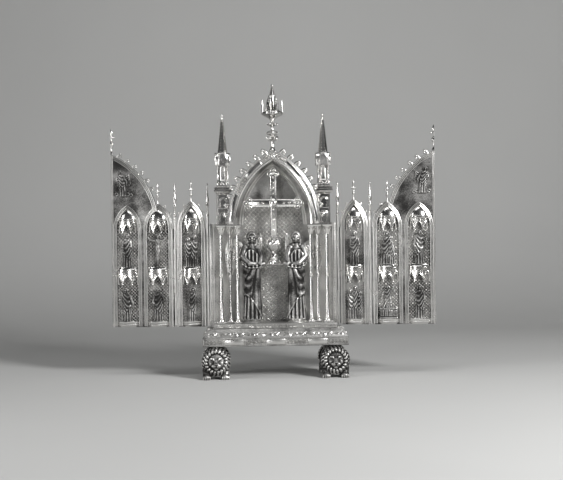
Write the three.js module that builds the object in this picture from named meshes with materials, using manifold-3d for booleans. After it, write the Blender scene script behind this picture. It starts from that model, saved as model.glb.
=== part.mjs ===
// A Gothic folding shrine in silver: a gabled niche on a stepped base with lion feet, in which two
// angels hold a reliquary cross, and two wings of two hinged leaves each with figures in relief.
// Millimetres, +Z up, the front towards -Y, and the origin on the ground under the middle.

import * as THREE from 'three';
import { mergeVertices } from 'three/addons/utils/BufferGeometryUtils.js';
import Module from 'manifold-3d';

const wasm = await Module();
wasm.setup();

// Driving dimensions.
const TOP = 720;
const GAP = 0.3;
const FRONT = -33.5;

// The base, from the underside up.
const BASE_BOTTOM = 80;
const BAND_TOP = 101;
const CHAMFER_TOP = 115;
const LEDGE_TOP = 121;
const PLATFORM_TOP = 134;
const BASE_HALF_WIDTH = 177;
const BASE_HALF_DEPTH = 59;
const CHAMFER_RUN = 10;
const PLATFORM_HALF_WIDTH = 151;

// The lion feet.
const LION_X = 145;
const LION_MANE = 34;
const LION_FACE = 22;
const LION_FACE_Z = 43;
const LION_LENGTH = 54;
const LION_FRONT = -62;

// The niche: back wall, columns and the pointed arch of the gable.
const WALL_FRONT = 31;
const WALL_BACK = 39;
const WALL_HALF_WIDTH = 159;
const WALL_SHOULDER = 379;
const SPRINGING = 375;
const ARCH_OFFSET = 86.7;
const GABLE_OUTER = 114;
const GABLE_INNER = 95;
const VAULT_OUTER = 103;
const GABLE_BACK = -25;
const CROCKET_Y = -29.5;
const RIB_OUTER = 84;
const RIB_INNER = 75;
const RIB_OFFSET = 97.3;
const RIB_PROUD = 5;
const COLUMN_TOP = SPRINGING - GAP;
const ANNULET_Z = 250;

// The corner towers.
const TOWER_X = 124;
const TOWER_Y = -3;
const BLOCK_TOP = 452;
const BATTLEMENT_TOP = 479;
const GABLET_FOOT = 522;
const GABLET_SPRINGING = 536;
const SPIRE_FOOT = 550;
const TOWER_TOP = 648;

// The central finial.
const RIDGE_TOP = 555;
const FINIAL_Y = -2;

// The wings. A leaf is drawn flat with its hinge axis at u = 0 and its face towards -Y.
const HINGE_X = 163;
const HINGE_Y = 35;
const INNER_SPAN = 81;
const OUTER_SPAN = 161.5;
const EDGE = 4;
const HALF_THICK = 3;
const FIELD_SUNK = 2.5;
const WING_BOTTOM = 123;
const SHELF_TOP = 137;
const WING_SPRINGING = 367;
const BAY_ARCH_LAP = 9;
const RELIEF_BACK = -(HALF_THICK - FIELD_SUNK) - GAP;
const RELIEF_DEPTH = 10.5;
const MID_SHELF_BOTTOM = 258;
const MID_SHELF_TOP = 272;
const ARCADE_DROP = 30;
const CANOPY_RIM = 388;
const CANOPY_TOP = 416;
const QUARTER_ARCH_TOP = 556;
const QUARTER_ARCH_OFFSET = 75;
const HALF_FINIAL_TOP = 620;

// The bays of the leaves: the middle of the bay, the half width of its arch, of its field and of
// its canopy's rim, and how far past the middle the centre of each arc of its arch lies.
const INNER_BAY = { u: 40.5, arch: 33, field: 25, offset: 53.6, rim: 20 };
const HINGE_BAY = { u: 43.5, arch: 37, field: 28, offset: 34.7, rim: 22 };
const EDGE_BAY = { u: 121, arch: 37, field: 28, offset: 34.7, rim: 22 };

// Where the crockets sit, as shares of the way up their arch, and how long they are.
const BAY_CROCKETS = [0.52, 0.8];
const BAY_CROCKET_SIZE = 7;
const QUARTER_ARCH_CROCKETS = [0.42, 0.52, 0.62, 0.72, 0.82, 0.92];
const QUARTER_ARCH_CROCKET_SIZE = 10;
const GABLE_CROCKETS = [0.12, 0.22, 0.32, 0.42, 0.52, 0.62, 0.72, 0.82, 0.92];
const GABLE_CROCKET_SIZE = 12.5;

// How finely the curves are divided.
const APSE_SIDES = 4;
const BAY_ARCH_STEPS = 3;
const BAY_FIELD_STEPS = 4;
const QUARTER_ARCH_STEPS = 7;
const GABLE_STEPS = 6;

// How each leaf stands in the open shrine, in degrees forward from straight out.
const OPEN_ANGLES = {
  left: { inner: 0, outer: -9 },
  right: { inner: 7, outer: 0 },
};

// The hinges: a pin through a middle knuckle of the moving leaf and two of the fixed one.
const KNUCKLE_RADIUS = 3.4;
const BORE_RADIUS = 1.9;
const PIN_RADIUS = 1.5;
const KNUCKLE_LEVELS = [126, 208, 316, 398];
const KNUCKLE_GAP = 0.4;
const SPIRE_TOP = 480;

const silver = (shade, roughness) =>
  new THREE.MeshStandardMaterial({
    color: new THREE.Color(shade, shade, shade),
    metalness: 1,
    roughness,
  });

const rad = THREE.MathUtils.degToRad;
const point = (x, y, z) => new THREE.Vector3(x, y, z);

// A closed three.js geometry as a solid that can be joined and cut.
function solid(geometry) {
  const bare = geometry.clone();
  bare.deleteAttribute('normal');
  bare.deleteAttribute('uv');
  const merged = mergeVertices(bare, 1e-3);
  const mesh = new wasm.Mesh({
    numProp: 3,
    vertProperties: new Float32Array(merged.attributes.position.array),
    triVerts: new Uint32Array(merged.index.array),
  });
  return new wasm.Manifold(mesh);
}

const join = (solids) => solids.reduce((all, next) => all.add(next));

// A solid as a named mesh.
function piece(name, body, material) {
  const mesh = body.getMesh();
  const geometry = new THREE.BufferGeometry();
  geometry.setAttribute('position', new THREE.BufferAttribute(mesh.vertProperties, 3));
  geometry.setIndex(new THREE.BufferAttribute(mesh.triVerts, 1));
  const shown = new THREE.Mesh(geometry, material);
  shown.name = name;
  return shown;
}

// A closed solid through rings of points. Each ring has the same count, and the ends are fans.
function loft(rings) {
  const count = rings[0].length;
  const points = rings.flat();
  const faces = [];
  for (let r = 0; r + 1 < rings.length; r += 1) {
    for (let k = 0; k < count; k += 1) {
      const a = r * count + k;
      const b = r * count + ((k + 1) % count);
      faces.push([a, b, b + count], [a, b + count, a + count]);
    }
  }
  const last = (rings.length - 1) * count;
  for (let k = 1; k + 1 < count; k += 1) {
    faces.push([0, k + 1, k], [last, last + k, last + k + 1]);
  }
  const volume = faces.reduce((sum, [a, b, c]) => {
    const across = new THREE.Vector3().crossVectors(points[b], points[c]);
    return sum + points[a].dot(across);
  }, 0);
  const outward = volume < 0 ? faces.map(([a, b, c]) => [a, c, b]) : faces;
  const geometry = new THREE.BufferGeometry().setFromPoints(points);
  geometry.setIndex(outward.flat());
  return solid(geometry);
}

// A level ring of points round x, y.
function ring(x, y, z, rx, ry, sides, phase = 0) {
  return Array.from({ length: sides }, (_, k) => {
    const angle = ((k + phase) / sides) * 2 * Math.PI;
    return point(x + rx * Math.cos(angle), y + ry * Math.sin(angle), z);
  });
}

// A turned solid from a profile of radii and heights.
const turned = (profile, sides, x = 0, y = 0, phase = 0.5) =>
  loft(profile.map(([radius, z]) => ring(x, y, z, radius, radius, sides, phase)));

// A square or oblong block with its sides along X and Y.
function block(x0, x1, y0, y1, z0, z1) {
  const geometry = new THREE.BoxGeometry(x1 - x0, y1 - y0, z1 - z0);
  return solid(geometry.translate((x0 + x1) / 2, (y0 + y1) / 2, (z0 + z1) / 2));
}

// A tapering limb along points, with a radius at each point.
function limb(points, radii, sides = 4, flat = 1) {
  const rings = points.map((at, k) => {
    const before = points[Math.max(k - 1, 0)];
    const after = points[Math.min(k + 1, points.length - 1)];
    const along = new THREE.Vector3().subVectors(after, before).normalize();
    const guide = Math.abs(along.y) > 0.8 ? point(1, 0, 0) : point(0, 1, 0);
    const across = new THREE.Vector3().crossVectors(along, guide).normalize();
    const out = new THREE.Vector3().crossVectors(along, across);
    return Array.from({ length: sides }, (_, s) => {
      const angle = ((s + 0.5) / sides) * 2 * Math.PI;
      return at
        .clone()
        .addScaledVector(across, radii[k] * Math.cos(angle))
        .addScaledVector(out, radii[k] * flat * Math.sin(angle));
    });
  });
  return loft(rings);
}

// An upright plate: an outline of x and z pushed back from y0 to y1.
function plate(outline, y0, y1) {
  const shape = new THREE.Shape(outline.map(([x, z]) => new THREE.Vector2(x, z)));
  const geometry = new THREE.ExtrudeGeometry(shape, { depth: y1 - y0, bevelEnabled: false });
  return solid(geometry.rotateX(Math.PI / 2).translate(0, y1, 0));
}

// A pointed arch from its right foot over the apex to its left foot. Each arc is struck from a
// centre past the middle by the offset.
function pointedArch(half, offset, springing, steps, middle = 0) {
  const radius = half + offset;
  const sweep = Math.acos(offset / radius);
  const right = Array.from({ length: steps + 1 }, (_, k) => {
    const angle = (k / steps) * sweep;
    return [radius * Math.cos(angle) - offset, radius * Math.sin(angle)];
  });
  const left = right.slice(0, -1).reverse();
  return [
    ...right.map(([x, z]) => [middle + x, springing + z]),
    ...left.map(([x, z]) => [middle - x, springing + z]),
  ];
}

// A lancet: a pointed arch on straight sides that go down to a level foot.
const lancet = (half, offset, springing, bottom, steps, middle = 0) => [
  [middle - half, bottom],
  [middle + half, bottom],
  ...pointedArch(half, offset, springing, steps, middle),
];

// A point of a pointed arch at a share of the way from its foot to its apex, on the right for side
// 1 and on the left for side -1, with the direction that points away from the arch there.
function onArch(half, offset, springing, share, side, middle = 0) {
  const radius = half + offset;
  const angle = share * Math.acos(offset / radius);
  return {
    x: middle + side * (radius * Math.cos(angle) - offset),
    z: springing + radius * Math.sin(angle),
    nx: side * Math.cos(angle),
    nz: Math.sin(angle),
  };
}

// A leaf that grows out of an edge and curls over, down the slope of that edge.
function crocket({ x, z, nx, nz }, size, y, curl) {
  const step = (out, down) =>
    point(x + nx * size * out + nz * curl * size * down, y,
      z + nz * size * out - nx * curl * size * down);
  return limb([step(-0.25, 0), step(0.9, 0.45)], [0.2 * size, 0.34 * size], 3);
}

// The stepped base, with plain plates set along the band on every side.
function base() {
  const tier = (halfWidth, halfDepth, z) =>
    ring(0, 0, z, halfWidth * Math.SQRT2, halfDepth * Math.SQRT2, 4, 0.5);
  const upperWidth = BASE_HALF_WIDTH - CHAMFER_RUN;
  const upperDepth = BASE_HALF_DEPTH - CHAMFER_RUN;
  const steps = loft([
    tier(BASE_HALF_WIDTH, BASE_HALF_DEPTH - 1, BASE_BOTTOM),
    tier(BASE_HALF_WIDTH, BASE_HALF_DEPTH - 1, BAND_TOP),
    tier(upperWidth, upperDepth, CHAMFER_TOP),
    tier(upperWidth, upperDepth, LEDGE_TOP),
  ]);
  const platform = block(-PLATFORM_HALF_WIDTH, PLATFORM_HALF_WIDTH, FRONT, WALL_FRONT - GAP,
    LEDGE_TOP - 1, PLATFORM_TOP);
  const fieldWidth = (2 * BASE_HALF_WIDTH) / 7;
  const plates = [-2, 0, 2].flatMap((field) => {
    const x0 = (field - 0.5) * fieldWidth + 1;
    const x1 = (field + 0.5) * fieldWidth - 1;
    return [-1, 1].map((side) => {
      const face = side * BASE_HALF_DEPTH;
      const inside = side * (BASE_HALF_DEPTH - 3);
      return block(x0, x1, Math.min(face, inside), Math.max(face, inside),
        BASE_BOTTOM + 2, BAND_TOP - 2);
    });
  });
  return join([steps, platform, ...plates]);
}

// A lion foot at the front left or right: it lies down and looks out along -Y.
function lionFoot() {
  const disc = (y, radius) =>
    ring(0, LION_FACE_Z, y, radius, radius, 8, 0.5).map((p) => point(p.x, p.z, p.y));
  const top = BASE_BOTTOM - GAP;
  const mane = loft([
    disc(LION_FRONT + 26, LION_MANE - 2),
    disc(LION_FRONT + 10, LION_MANE + 2),
    disc(LION_FRONT + 5, LION_FACE),
  ]);
  const muzzle = limb([
    point(0, LION_FRONT + 14, LION_FACE_Z - 3),
    point(0, LION_FRONT + 1, LION_FACE_Z - 5),
  ], [12, 8], 4);
  const trunk = (y, halfWidth, low) => [
    point(-halfWidth, y, 0), point(halfWidth, y, 0), point(halfWidth + 2, y, low),
    point(halfWidth - 6, y, top), point(6 - halfWidth, y, top), point(-halfWidth - 2, y, low),
  ];
  const body = loft([
    trunk(LION_FRONT + 14, 20, 34),
    trunk(LION_FRONT + 34, 28, 40),
    trunk(LION_FRONT + LION_LENGTH, 24, 38),
  ]);
  const paws = [-1, 1].map((side) => loft([
    [0, 9, 22], [9, 10, 20], [22, 6, 18],
  ].map(([z, halfWidth, reach]) => [
    point(side * 23 - halfWidth, LION_FRONT + 22 - reach + z * 0.2, z),
    point(side * 23 + halfWidth, LION_FRONT + 22 - reach + z * 0.2, z),
    point(side * 23 + halfWidth, LION_FRONT + 24, z),
    point(side * 23 - halfWidth, LION_FRONT + 24, z),
  ])));
  const ground = block(-60, 60, -100, 100, -20, 0);
  const above = block(-60, 60, -100, 100, top, top + 20);
  return join([mane, muzzle, body, ...paws]).subtract(ground).subtract(above);
}

// The back wall with its pointed head, the rib on its face and the fixed knuckles of the hinges.
function backWall() {
  const body = join([
    block(-WALL_HALF_WIDTH, WALL_HALF_WIDTH, WALL_FRONT, WALL_BACK, LEDGE_TOP + GAP, WALL_SHOULDER),
    plate(lancet(VAULT_OUTER, ARCH_OFFSET, SPRINGING, SPRINGING - 20, GABLE_STEPS), WALL_FRONT,
      WALL_BACK),
  ]);
  const rib = plate(
    [
      ...pointedArch(RIB_OUTER, RIB_OFFSET, SPRINGING, GABLE_STEPS),
      ...pointedArch(RIB_INNER, RIB_OFFSET, SPRINGING, GABLE_STEPS).reverse(),
    ],
    WALL_FRONT - RIB_PROUD, WALL_FRONT + 1,
  );
  const frames = [-1, 1].map((side) => {
    const outer = side * WALL_HALF_WIDTH;
    const inner = side * (WALL_HALF_WIDTH - 12);
    return block(Math.min(outer, inner), Math.max(outer, inner), WALL_FRONT - 1.5,
      WALL_BACK + 1.5, PLATFORM_TOP + 2, WALL_SHOULDER);
  });
  const fixed = [0, 2].map((level) => knuckle(level, WALL_HALF_WIDTH - HINGE_X - 1));
  const right = join(fixed).translate([HINGE_X, HINGE_Y, 0]);
  return join([body, rib, ...frames, right, right.mirror([1, 0, 0])]);
}

// One knuckle round the hinge axis with a tab that reaches to u. Even levels are the fixed ones.
function knuckle(level, reach) {
  const low = KNUCKLE_LEVELS[level] + KNUCKLE_GAP / 2;
  const high = KNUCKLE_LEVELS[level + 1] - KNUCKLE_GAP / 2;
  const barrel = turned([[KNUCKLE_RADIUS, low], [KNUCKLE_RADIUS, high]], 6);
  const tab = block(Math.min(0, reach), Math.max(0, reach), -2, 2, low,
    Math.min(high, WING_SPRINGING));
  const bore = turned([[BORE_RADIUS, low - 1], [BORE_RADIUS, high + 1]], 6);
  return barrel.add(tab).subtract(bore);
}

// A hinge pin. Above the knuckles it stands up as a slender colonnette with a spire.
function hingePin() {
  const bottom = KNUCKLE_LEVELS[0] - 2.5;
  const seat = KNUCKLE_LEVELS[3] + GAP;
  return turned([
    [PIN_RADIUS, bottom], [PIN_RADIUS, seat], [4.2, seat], [2.6, seat + 6], [2.6, 422],
    [4.4, 425], [0.8, SPIRE_TOP - 6], [2, SPIRE_TOP - 3], [0.5, SPIRE_TOP],
  ], 5);
}

// The gable band with its crockets, and the vault behind it under a ridge.
function gable() {
  const band = plate(
    [
      ...pointedArch(GABLE_OUTER, ARCH_OFFSET, SPRINGING, GABLE_STEPS),
      ...pointedArch(GABLE_INNER, ARCH_OFFSET, SPRINGING, GABLE_STEPS).reverse(),
    ],
    FRONT, GABLE_BACK + 1,
  );
  const vault = plate(
    [
      ...pointedArch(VAULT_OUTER, ARCH_OFFSET, SPRINGING, GABLE_STEPS),
      ...pointedArch(GABLE_INNER, ARCH_OFFSET, SPRINGING, GABLE_STEPS).reverse(),
    ],
    GABLE_BACK, WALL_FRONT - GAP,
  );
  const ridge = plate([[-9, 538], [9, 538], [6, RIDGE_TOP], [-6, RIDGE_TOP]],
    GABLE_BACK, WALL_FRONT - GAP);
  const crockets = GABLE_CROCKETS.flatMap((share) => [-1, 1].map((side) =>
    crocket(onArch(GABLE_OUTER, ARCH_OFFSET, SPRINGING, share, side), GABLE_CROCKET_SIZE,
      CROCKET_Y, side)));
  return join([band, vault, ridge, ...crockets]);
}

// A corner tower: block, cornice, battlement, shaft, four gablets and spire.
function tower() {
  const square = (half, z) => [half * Math.SQRT2, z];
  const lower = turned([
    square(14.5, SPRINGING + GAP), square(14.5, BLOCK_TOP), square(21.5, BLOCK_TOP + 5),
    square(21.5, BLOCK_TOP + 14), square(15.5, BLOCK_TOP + 17), square(15.5, BATTLEMENT_TOP),
  ], 4);
  const shaft = turned([
    square(12.5, BATTLEMENT_TOP - 1), square(12.5, GABLET_FOOT + 8),
  ], 4);
  const gablet = plate(lancet(12, 8, GABLET_SPRINGING, GABLET_FOOT, 2), -19.5, 19.5);
  const gablets = join([gablet, gablet.rotate([0, 0, 90])]);
  const spire = turned([
    [12.5, SPIRE_FOOT], [3.2, TOWER_TOP - 14], [1.6, TOWER_TOP - 12], [3.6, TOWER_TOP - 8],
    [1, TOWER_TOP],
  ], 6);
  return join([lower, shaft, gablets, spire]);
}

// The finial over the gable: a baluster with knobs that carries a six-sided lantern.
function centralFinial() {
  const stem = turned([
    [9, RIDGE_TOP + GAP], [4.5, 568], [4, 582], [12, 587], [5, 593],
    [13, 600], [4, 606], [3.6, 619], [12.4, 622], [4, 626],
    [14, 638], [27, 646], [27, 652], [9.5, 653], [9.4, 690],
    [6, 692], [1.6, 715], [1, TOP],
  ], 6, 0, 0, 0);
  const pinnacles = Array.from({ length: 6 }, (_, k) => {
    const angle = rad(60 * k);
    const x = 24.5 * Math.cos(angle);
    const y = 24.5 * Math.sin(angle);
    return turned([[2.8, 650], [3, 669], [0.6, 682]], 3, x, y, k / 2);
  });
  return join([stem, ...pinnacles]);
}

// A column: moulded base, shaft with an annulet, capital and square abacus.
function column(radius, plinth) {
  const foot = PLATFORM_TOP + GAP;
  const square = (z0, z1, half) => block(-half, half, -half, half, z0, z1);
  const shaft = turned([
    [radius + 3.5, foot + 2], [radius, foot + 12], [radius, ANNULET_Z - 3],
    [radius + 1.8, ANNULET_Z], [radius, ANNULET_Z + 3], [radius, 354],
    [radius + 4.5, COLUMN_TOP - 4],
  ], 5);
  return join([
    square(foot, foot + 4, plinth), shaft, square(COLUMN_TOP - 6, COLUMN_TOP, plinth),
  ]);
}

// A standing angel that faces the front and holds out both hands towards the cross. It is drawn
// for the right-hand side, with the cross on its -X side.
function angel() {
  const foot = PLATFORM_TOP + GAP;
  const hem = foot + 8;
  const shoulder = 326;
  const rows = [
    [0, 25, 17], [0.35, 21, 15], [0.76, 25, 16], [0.92, 20, 13], [1.03, 7, 7],
  ];
  const robe = loft(rows.map(([share, rx, ry]) =>
    ring(0, 0, hem + share * (shoulder - hem), rx, ry, 8, share)));
  const pedestal = turned([[24, foot], [19, hem + 1]], 6, 0, 0);
  const head = solid(new THREE.IcosahedronGeometry(12, 0).scale(0.95, 1, 1.15)
    .translate(-1, -2, shoulder + 16));
  const arm = (side) => limb([
    point(side * 19, -6, shoulder - 16),
    point(side * 14 - 6, -15, shoulder - 52),
    point(-27, -15 + side * 4, shoulder - 50 - side * 6),
  ], [7, 8, 3.5], 4);
  const outerWing = plate([
    [14, shoulder - 6], [40, shoulder + 14], [60, shoulder + 8], [65, shoulder - 24],
    [56, shoulder - 80], [50, shoulder - 96], [44, shoulder - 60], [16, shoulder - 34],
  ], 8, 12);
  const innerWing = plate([
    [-12, shoulder - 14], [-16, shoulder + 6], [-22, shoulder + 28], [-27, shoulder + 18],
    [-28, shoulder - 6], [-20, shoulder - 26],
  ], 5, 9);
  return join([pedestal, robe, head, arm(-1), arm(1), outerWing, innerWing])
    .translate([55, -7, 0]);
}

// The plate between the angels, with the stepped foot and the knop that carry the cross.
function crossStand() {
  const y = -12;
  const board = block(-22, 22, y - 14, y + 14, 272, 279);
  const foot = turned([
    [18, 278], [18, 284], [13, 288], [13, 294], [8, 299], [7, 309], [17, 322],
    [17, 332], [8, 345.7],
  ], 6, 0, y);
  return board.add(foot);
}

// The reliquary cross. Each arm ends in a trefoil.
function cross() {
  const y = -12;
  const half = 8.2;
  const middle = 427;
  const lobes = [[-3, 5], [2, 12], [8, 15], [12, 8], [19, 0]];
  const arm = [...lobes, ...lobes.slice(0, -1).reverse().map(([out, aside]) => [out, -aside])];
  const outline = [
    ...arm.map(([out, aside]) => [aside, 496 + out]),
    [-half, middle + half],
    ...arm.map(([out, aside]) => [-56 - out, middle + aside]),
    [-half, middle - half],
    [-half, 346],
    [half, 346],
    [half, middle - half],
    ...arm.map(([out, aside]) => [56 + out, middle - aside]),
    [half, middle + half],
  ];
  const boss = turned([[10, 2], [10, 7], [5, 9]], 6).rotate([90, 0, 0]).translate([0, y, middle]);
  return plate(outline, y - 3, y + 3).add(boss);
}

// A half round ring on the ground of a bay, for shelves and canopies, seen from above.
function apse(middle, z, half, depth) {
  return Array.from({ length: APSE_SIDES + 1 }, (_, k) => {
    const angle = (k / APSE_SIDES) * Math.PI;
    return point(middle + half * Math.cos(angle), RELIEF_BACK - depth * Math.sin(angle), z);
  });
}

// A hanging arcade round a half round edge: its lower edge drops at each pendant and rises to a
// point between them.
function arcade(middle, top, drop, half, depth) {
  const wall = 1.8;
  const at = (angle, rx, ry, z) =>
    point(middle + rx * Math.cos(angle), RELIEF_BACK - ry * Math.sin(angle), z);
  return loft(Array.from({ length: APSE_SIDES + 1 }, (_, k) => {
    const angle = (k / APSE_SIDES) * Math.PI;
    const low = k % 2 === 0 ? top - drop : top - drop * 0.35;
    return [
      at(angle, half, depth, low), at(angle, half, depth, top),
      at(angle, half - wall, depth - wall, top), at(angle, half - wall, depth - wall, low),
    ];
  }));
}

// The canopy at the head of a bay: an arcade, a rim and a half dome.
function canopy(bay) {
  const half = bay.rim;
  const dome = loft([
    apse(bay.u, CANOPY_RIM - 1, half, RELIEF_DEPTH),
    apse(bay.u, CANOPY_RIM + 5, half, RELIEF_DEPTH),
    apse(bay.u, CANOPY_RIM + 17, half * 0.62, RELIEF_DEPTH * 0.66),
    apse(bay.u, CANOPY_TOP, half * 0.12, RELIEF_DEPTH * 0.2),
  ]);
  return dome.add(arcade(bay.u, CANOPY_RIM, ARCADE_DROP, half - 0.6, RELIEF_DEPTH - 0.6));
}

// The shelf between the storeys of a bay, with the arcade of the lower storey under it.
function middleShelf(bay) {
  const half = bay.field - 1.2;
  const slab = loft([
    apse(bay.u, MID_SHELF_BOTTOM, half, RELIEF_DEPTH),
    apse(bay.u, MID_SHELF_TOP - 5, half, RELIEF_DEPTH),
    apse(bay.u, MID_SHELF_TOP, half - 3, RELIEF_DEPTH - 2),
  ]);
  return slab.add(arcade(bay.u, MID_SHELF_BOTTOM + 1, ARCADE_DROP, half - 1.4,
    RELIEF_DEPTH - 1.4));
}

// The shelf at the foot of a bay, which is one with the leaf.
function footShelf(bay) {
  const half = bay.field - 1;
  return loft([
    apse(bay.u, WING_BOTTOM, half - 5, RELIEF_DEPTH - 4),
    apse(bay.u, SHELF_TOP - 8, half, RELIEF_DEPTH),
    apse(bay.u, SHELF_TOP, half - 1, RELIEF_DEPTH - 1),
  ].map((row) => row.map((p) => point(p.x, p.y > RELIEF_BACK - 0.01 ? 0 : p.y, p.z))));
}

// A small finial on the point of a bay's arch.
const gabletFinial = (middle, bottom, top) => {
  const rise = top - bottom;
  return turned([
    [3, bottom], [2, bottom + rise * 0.25], [5, bottom + rise * 0.4], [2, bottom + rise * 0.5],
    [3.6, bottom + rise * 0.7], [1, top],
  ], 4, middle, 0, 0);
};

// The pointed head of a bay as a plate.
const bayHead = (bay, y0, y1) =>
  plate(lancet(bay.arch, bay.offset, WING_SPRINGING, WING_SPRINGING - BAY_ARCH_LAP,
    BAY_ARCH_STEPS, bay.u), y0, y1);

// The leaf next to the niche: one bay under a crocketed arch.
function innerLeaf() {
  const bay = INNER_BAY;
  const rise = Math.sqrt((bay.arch + bay.offset) ** 2 - bay.offset ** 2);
  const body = join([
    block(EDGE, INNER_SPAN - EDGE, -HALF_THICK, HALF_THICK, WING_BOTTOM, WING_SPRINGING),
    bayHead(bay, -HALF_THICK, HALF_THICK),
  ]);
  const crockets = BAY_CROCKETS.flatMap((share) => [-1, 1].map((side) =>
    crocket(onArch(bay.arch, bay.offset, WING_SPRINGING, share, side, bay.u),
      BAY_CROCKET_SIZE, 0, side)));
  const apex = WING_SPRINGING + rise;
  const toOuter = [0, 2].map((level) => knuckle(level, -EDGE - 1).translate([INNER_SPAN, 0, 0]));
  return join([
    body.subtract(bayField(bay)), footShelf(bay), ...crockets, knuckle(1, EDGE + 1), ...toOuter,
    gabletFinial(bay.u, apex - 4, 486),
  ]);
}

// The sunk ground of a bay.
const bayField = (bay) =>
  plate(lancet(bay.field, bay.offset, WING_SPRINGING, SHELF_TOP, BAY_FIELD_STEPS, bay.u),
    -HALF_THICK - 1, FIELD_SUNK - HALF_THICK);

// The quarter arch over the outer leaf: it falls from the free edge towards the hinge.
function quarterArch(inset, depth) {
  const radius = Math.sqrt((QUARTER_ARCH_TOP - SPRINGING) ** 2 + QUARTER_ARCH_OFFSET ** 2);
  const centre = OUTER_SPAN + QUARTER_ARCH_OFFSET;
  const r = radius - inset;
  const edge = OUTER_SPAN - (inset > 0 ? inset - 2 : 0);
  const from = Math.acos((centre - edge) / r);
  const arc = Array.from({ length: QUARTER_ARCH_STEPS + 1 }, (_, k) => {
    const angle = from * (1 - k / QUARTER_ARCH_STEPS);
    return [centre - r * Math.cos(angle), SPRINGING + r * Math.sin(angle)];
  });
  return plate([[edge, WING_SPRINGING - 5], ...arc, [arc.at(-1)[0], WING_SPRINGING - 5]],
    -HALF_THICK - depth, depth > 0 ? FIELD_SUNK - HALF_THICK : HALF_THICK);
}

// The leaf at the free end: two bays under a quarter arch with crockets.
function outerLeaf() {
  const bays = [HINGE_BAY, EDGE_BAY];
  const body = join([
    block(EDGE, OUTER_SPAN, -HALF_THICK, HALF_THICK, WING_BOTTOM, WING_SPRINGING),
    bayHead(HINGE_BAY, -HALF_THICK, HALF_THICK), quarterArch(0, 0),
  ]);
  const spandrel = bays.reduce(
    (cut, bay) => cut.subtract(bayHead(bay, -HALF_THICK - 2, HALF_THICK)), quarterArch(10, 1),
  ).subtract(block(0, OUTER_SPAN, -HALF_THICK - 2, HALF_THICK, 0, WING_SPRINGING + 12));
  const arcRadius = Math.hypot(QUARTER_ARCH_TOP - SPRINGING, QUARTER_ARCH_OFFSET);
  const centre = OUTER_SPAN + QUARTER_ARCH_OFFSET;
  const arcCrockets = QUARTER_ARCH_CROCKETS.map((share) => {
    const angle = share * Math.acos(QUARTER_ARCH_OFFSET / arcRadius);
    const at = {
      x: centre - arcRadius * Math.cos(angle),
      z: SPRINGING + arcRadius * Math.sin(angle),
      nx: -Math.cos(angle),
      nz: Math.sin(angle),
    };
    return crocket(at, QUARTER_ARCH_CROCKET_SIZE, 0, -1);
  });
  const bay = HINGE_BAY;
  const rise = Math.sqrt((bay.arch + bay.offset) ** 2 - bay.offset ** 2);
  const bayCrockets = BAY_CROCKETS.map((share) =>
    crocket(onArch(bay.arch, bay.offset, WING_SPRINGING, share, -1, bay.u),
      BAY_CROCKET_SIZE, 0, -1));
  return join([
    body.subtract(spandrel).subtract(bayField(HINGE_BAY)).subtract(bayField(EDGE_BAY)),
    footShelf(HINGE_BAY), footShelf(EDGE_BAY), ...arcCrockets, ...bayCrockets,
    knuckle(1, EDGE + 1), gabletFinial(bay.u, WING_SPRINGING + rise - 4, 482),
  ]);
}

// Half a finial, cut flat at the free edge, so that the two outer leaves meet.
function halfFinial() {
  const foot = QUARTER_ARCH_TOP + GAP;
  const whole = turned([
    [8, foot], [3, foot + 10], [3, foot + 22], [9, foot + 29], [3, foot + 37], [8, foot + 48],
    [1, HALF_FINIAL_TOP],
  ], 6, OUTER_SPAN, 0, 0);
  const flattened = whole.scale([1, 0.5, 1]);
  return flattened.subtract(block(OUTER_SPAN, OUTER_SPAN + 20, -20, 20, 500, 700));
}

// A robed figure in relief with its foot at z = 0. The hands are given from the middle of the
// body, as shares of the height.
function reliefFigure({ height, x = 0, z = 0, lean = 0, wide = 1, hands, head = 0 }) {
  const deep = 4.9;
  const middle = RELIEF_BACK - deep - 0.1;
  const rows = [
    [0, 0.15, 1], [0.5, 0.115, 0.85], [0.78, 0.135, 0.9], [0.87, 0.05, 0.5],
  ];
  const sway = (share) => x + lean * height * share * share;
  const robe = loft(rows.map(([share, half, thick]) =>
    ring(sway(share), middle, z + share * height, half * wide * height, deep * thick, 5, 0.25)));
  const top = solid(new THREE.OctahedronGeometry(1, 0).scale(0.078 * height, 4.8, 0.095 * height)
    .translate(sway(0.9) + head, middle, z + 0.915 * height));
  const arms = hands.map(([across, up], k) => {
    const side = k === 0 ? -1 : 1;
    const from = point(sway(0.76) + side * 0.09 * wide * height, middle, z + 0.76 * height);
    const to = point(sway(0.6) + across * height, middle - 1.6, z + up * height);
    return limb([from, to], [0.055 * height, 0.035 * height], 3, 0.7);
  });
  return join([robe, top, ...arms]);
}

// A flat oblong thing in relief, such as the side of a tomb or the bars of a cross.
const reliefBlock = (x0, x1, z0, z1, depth) =>
  block(x0, x1, RELIEF_BACK - depth, RELIEF_BACK, z0, z1);

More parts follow.
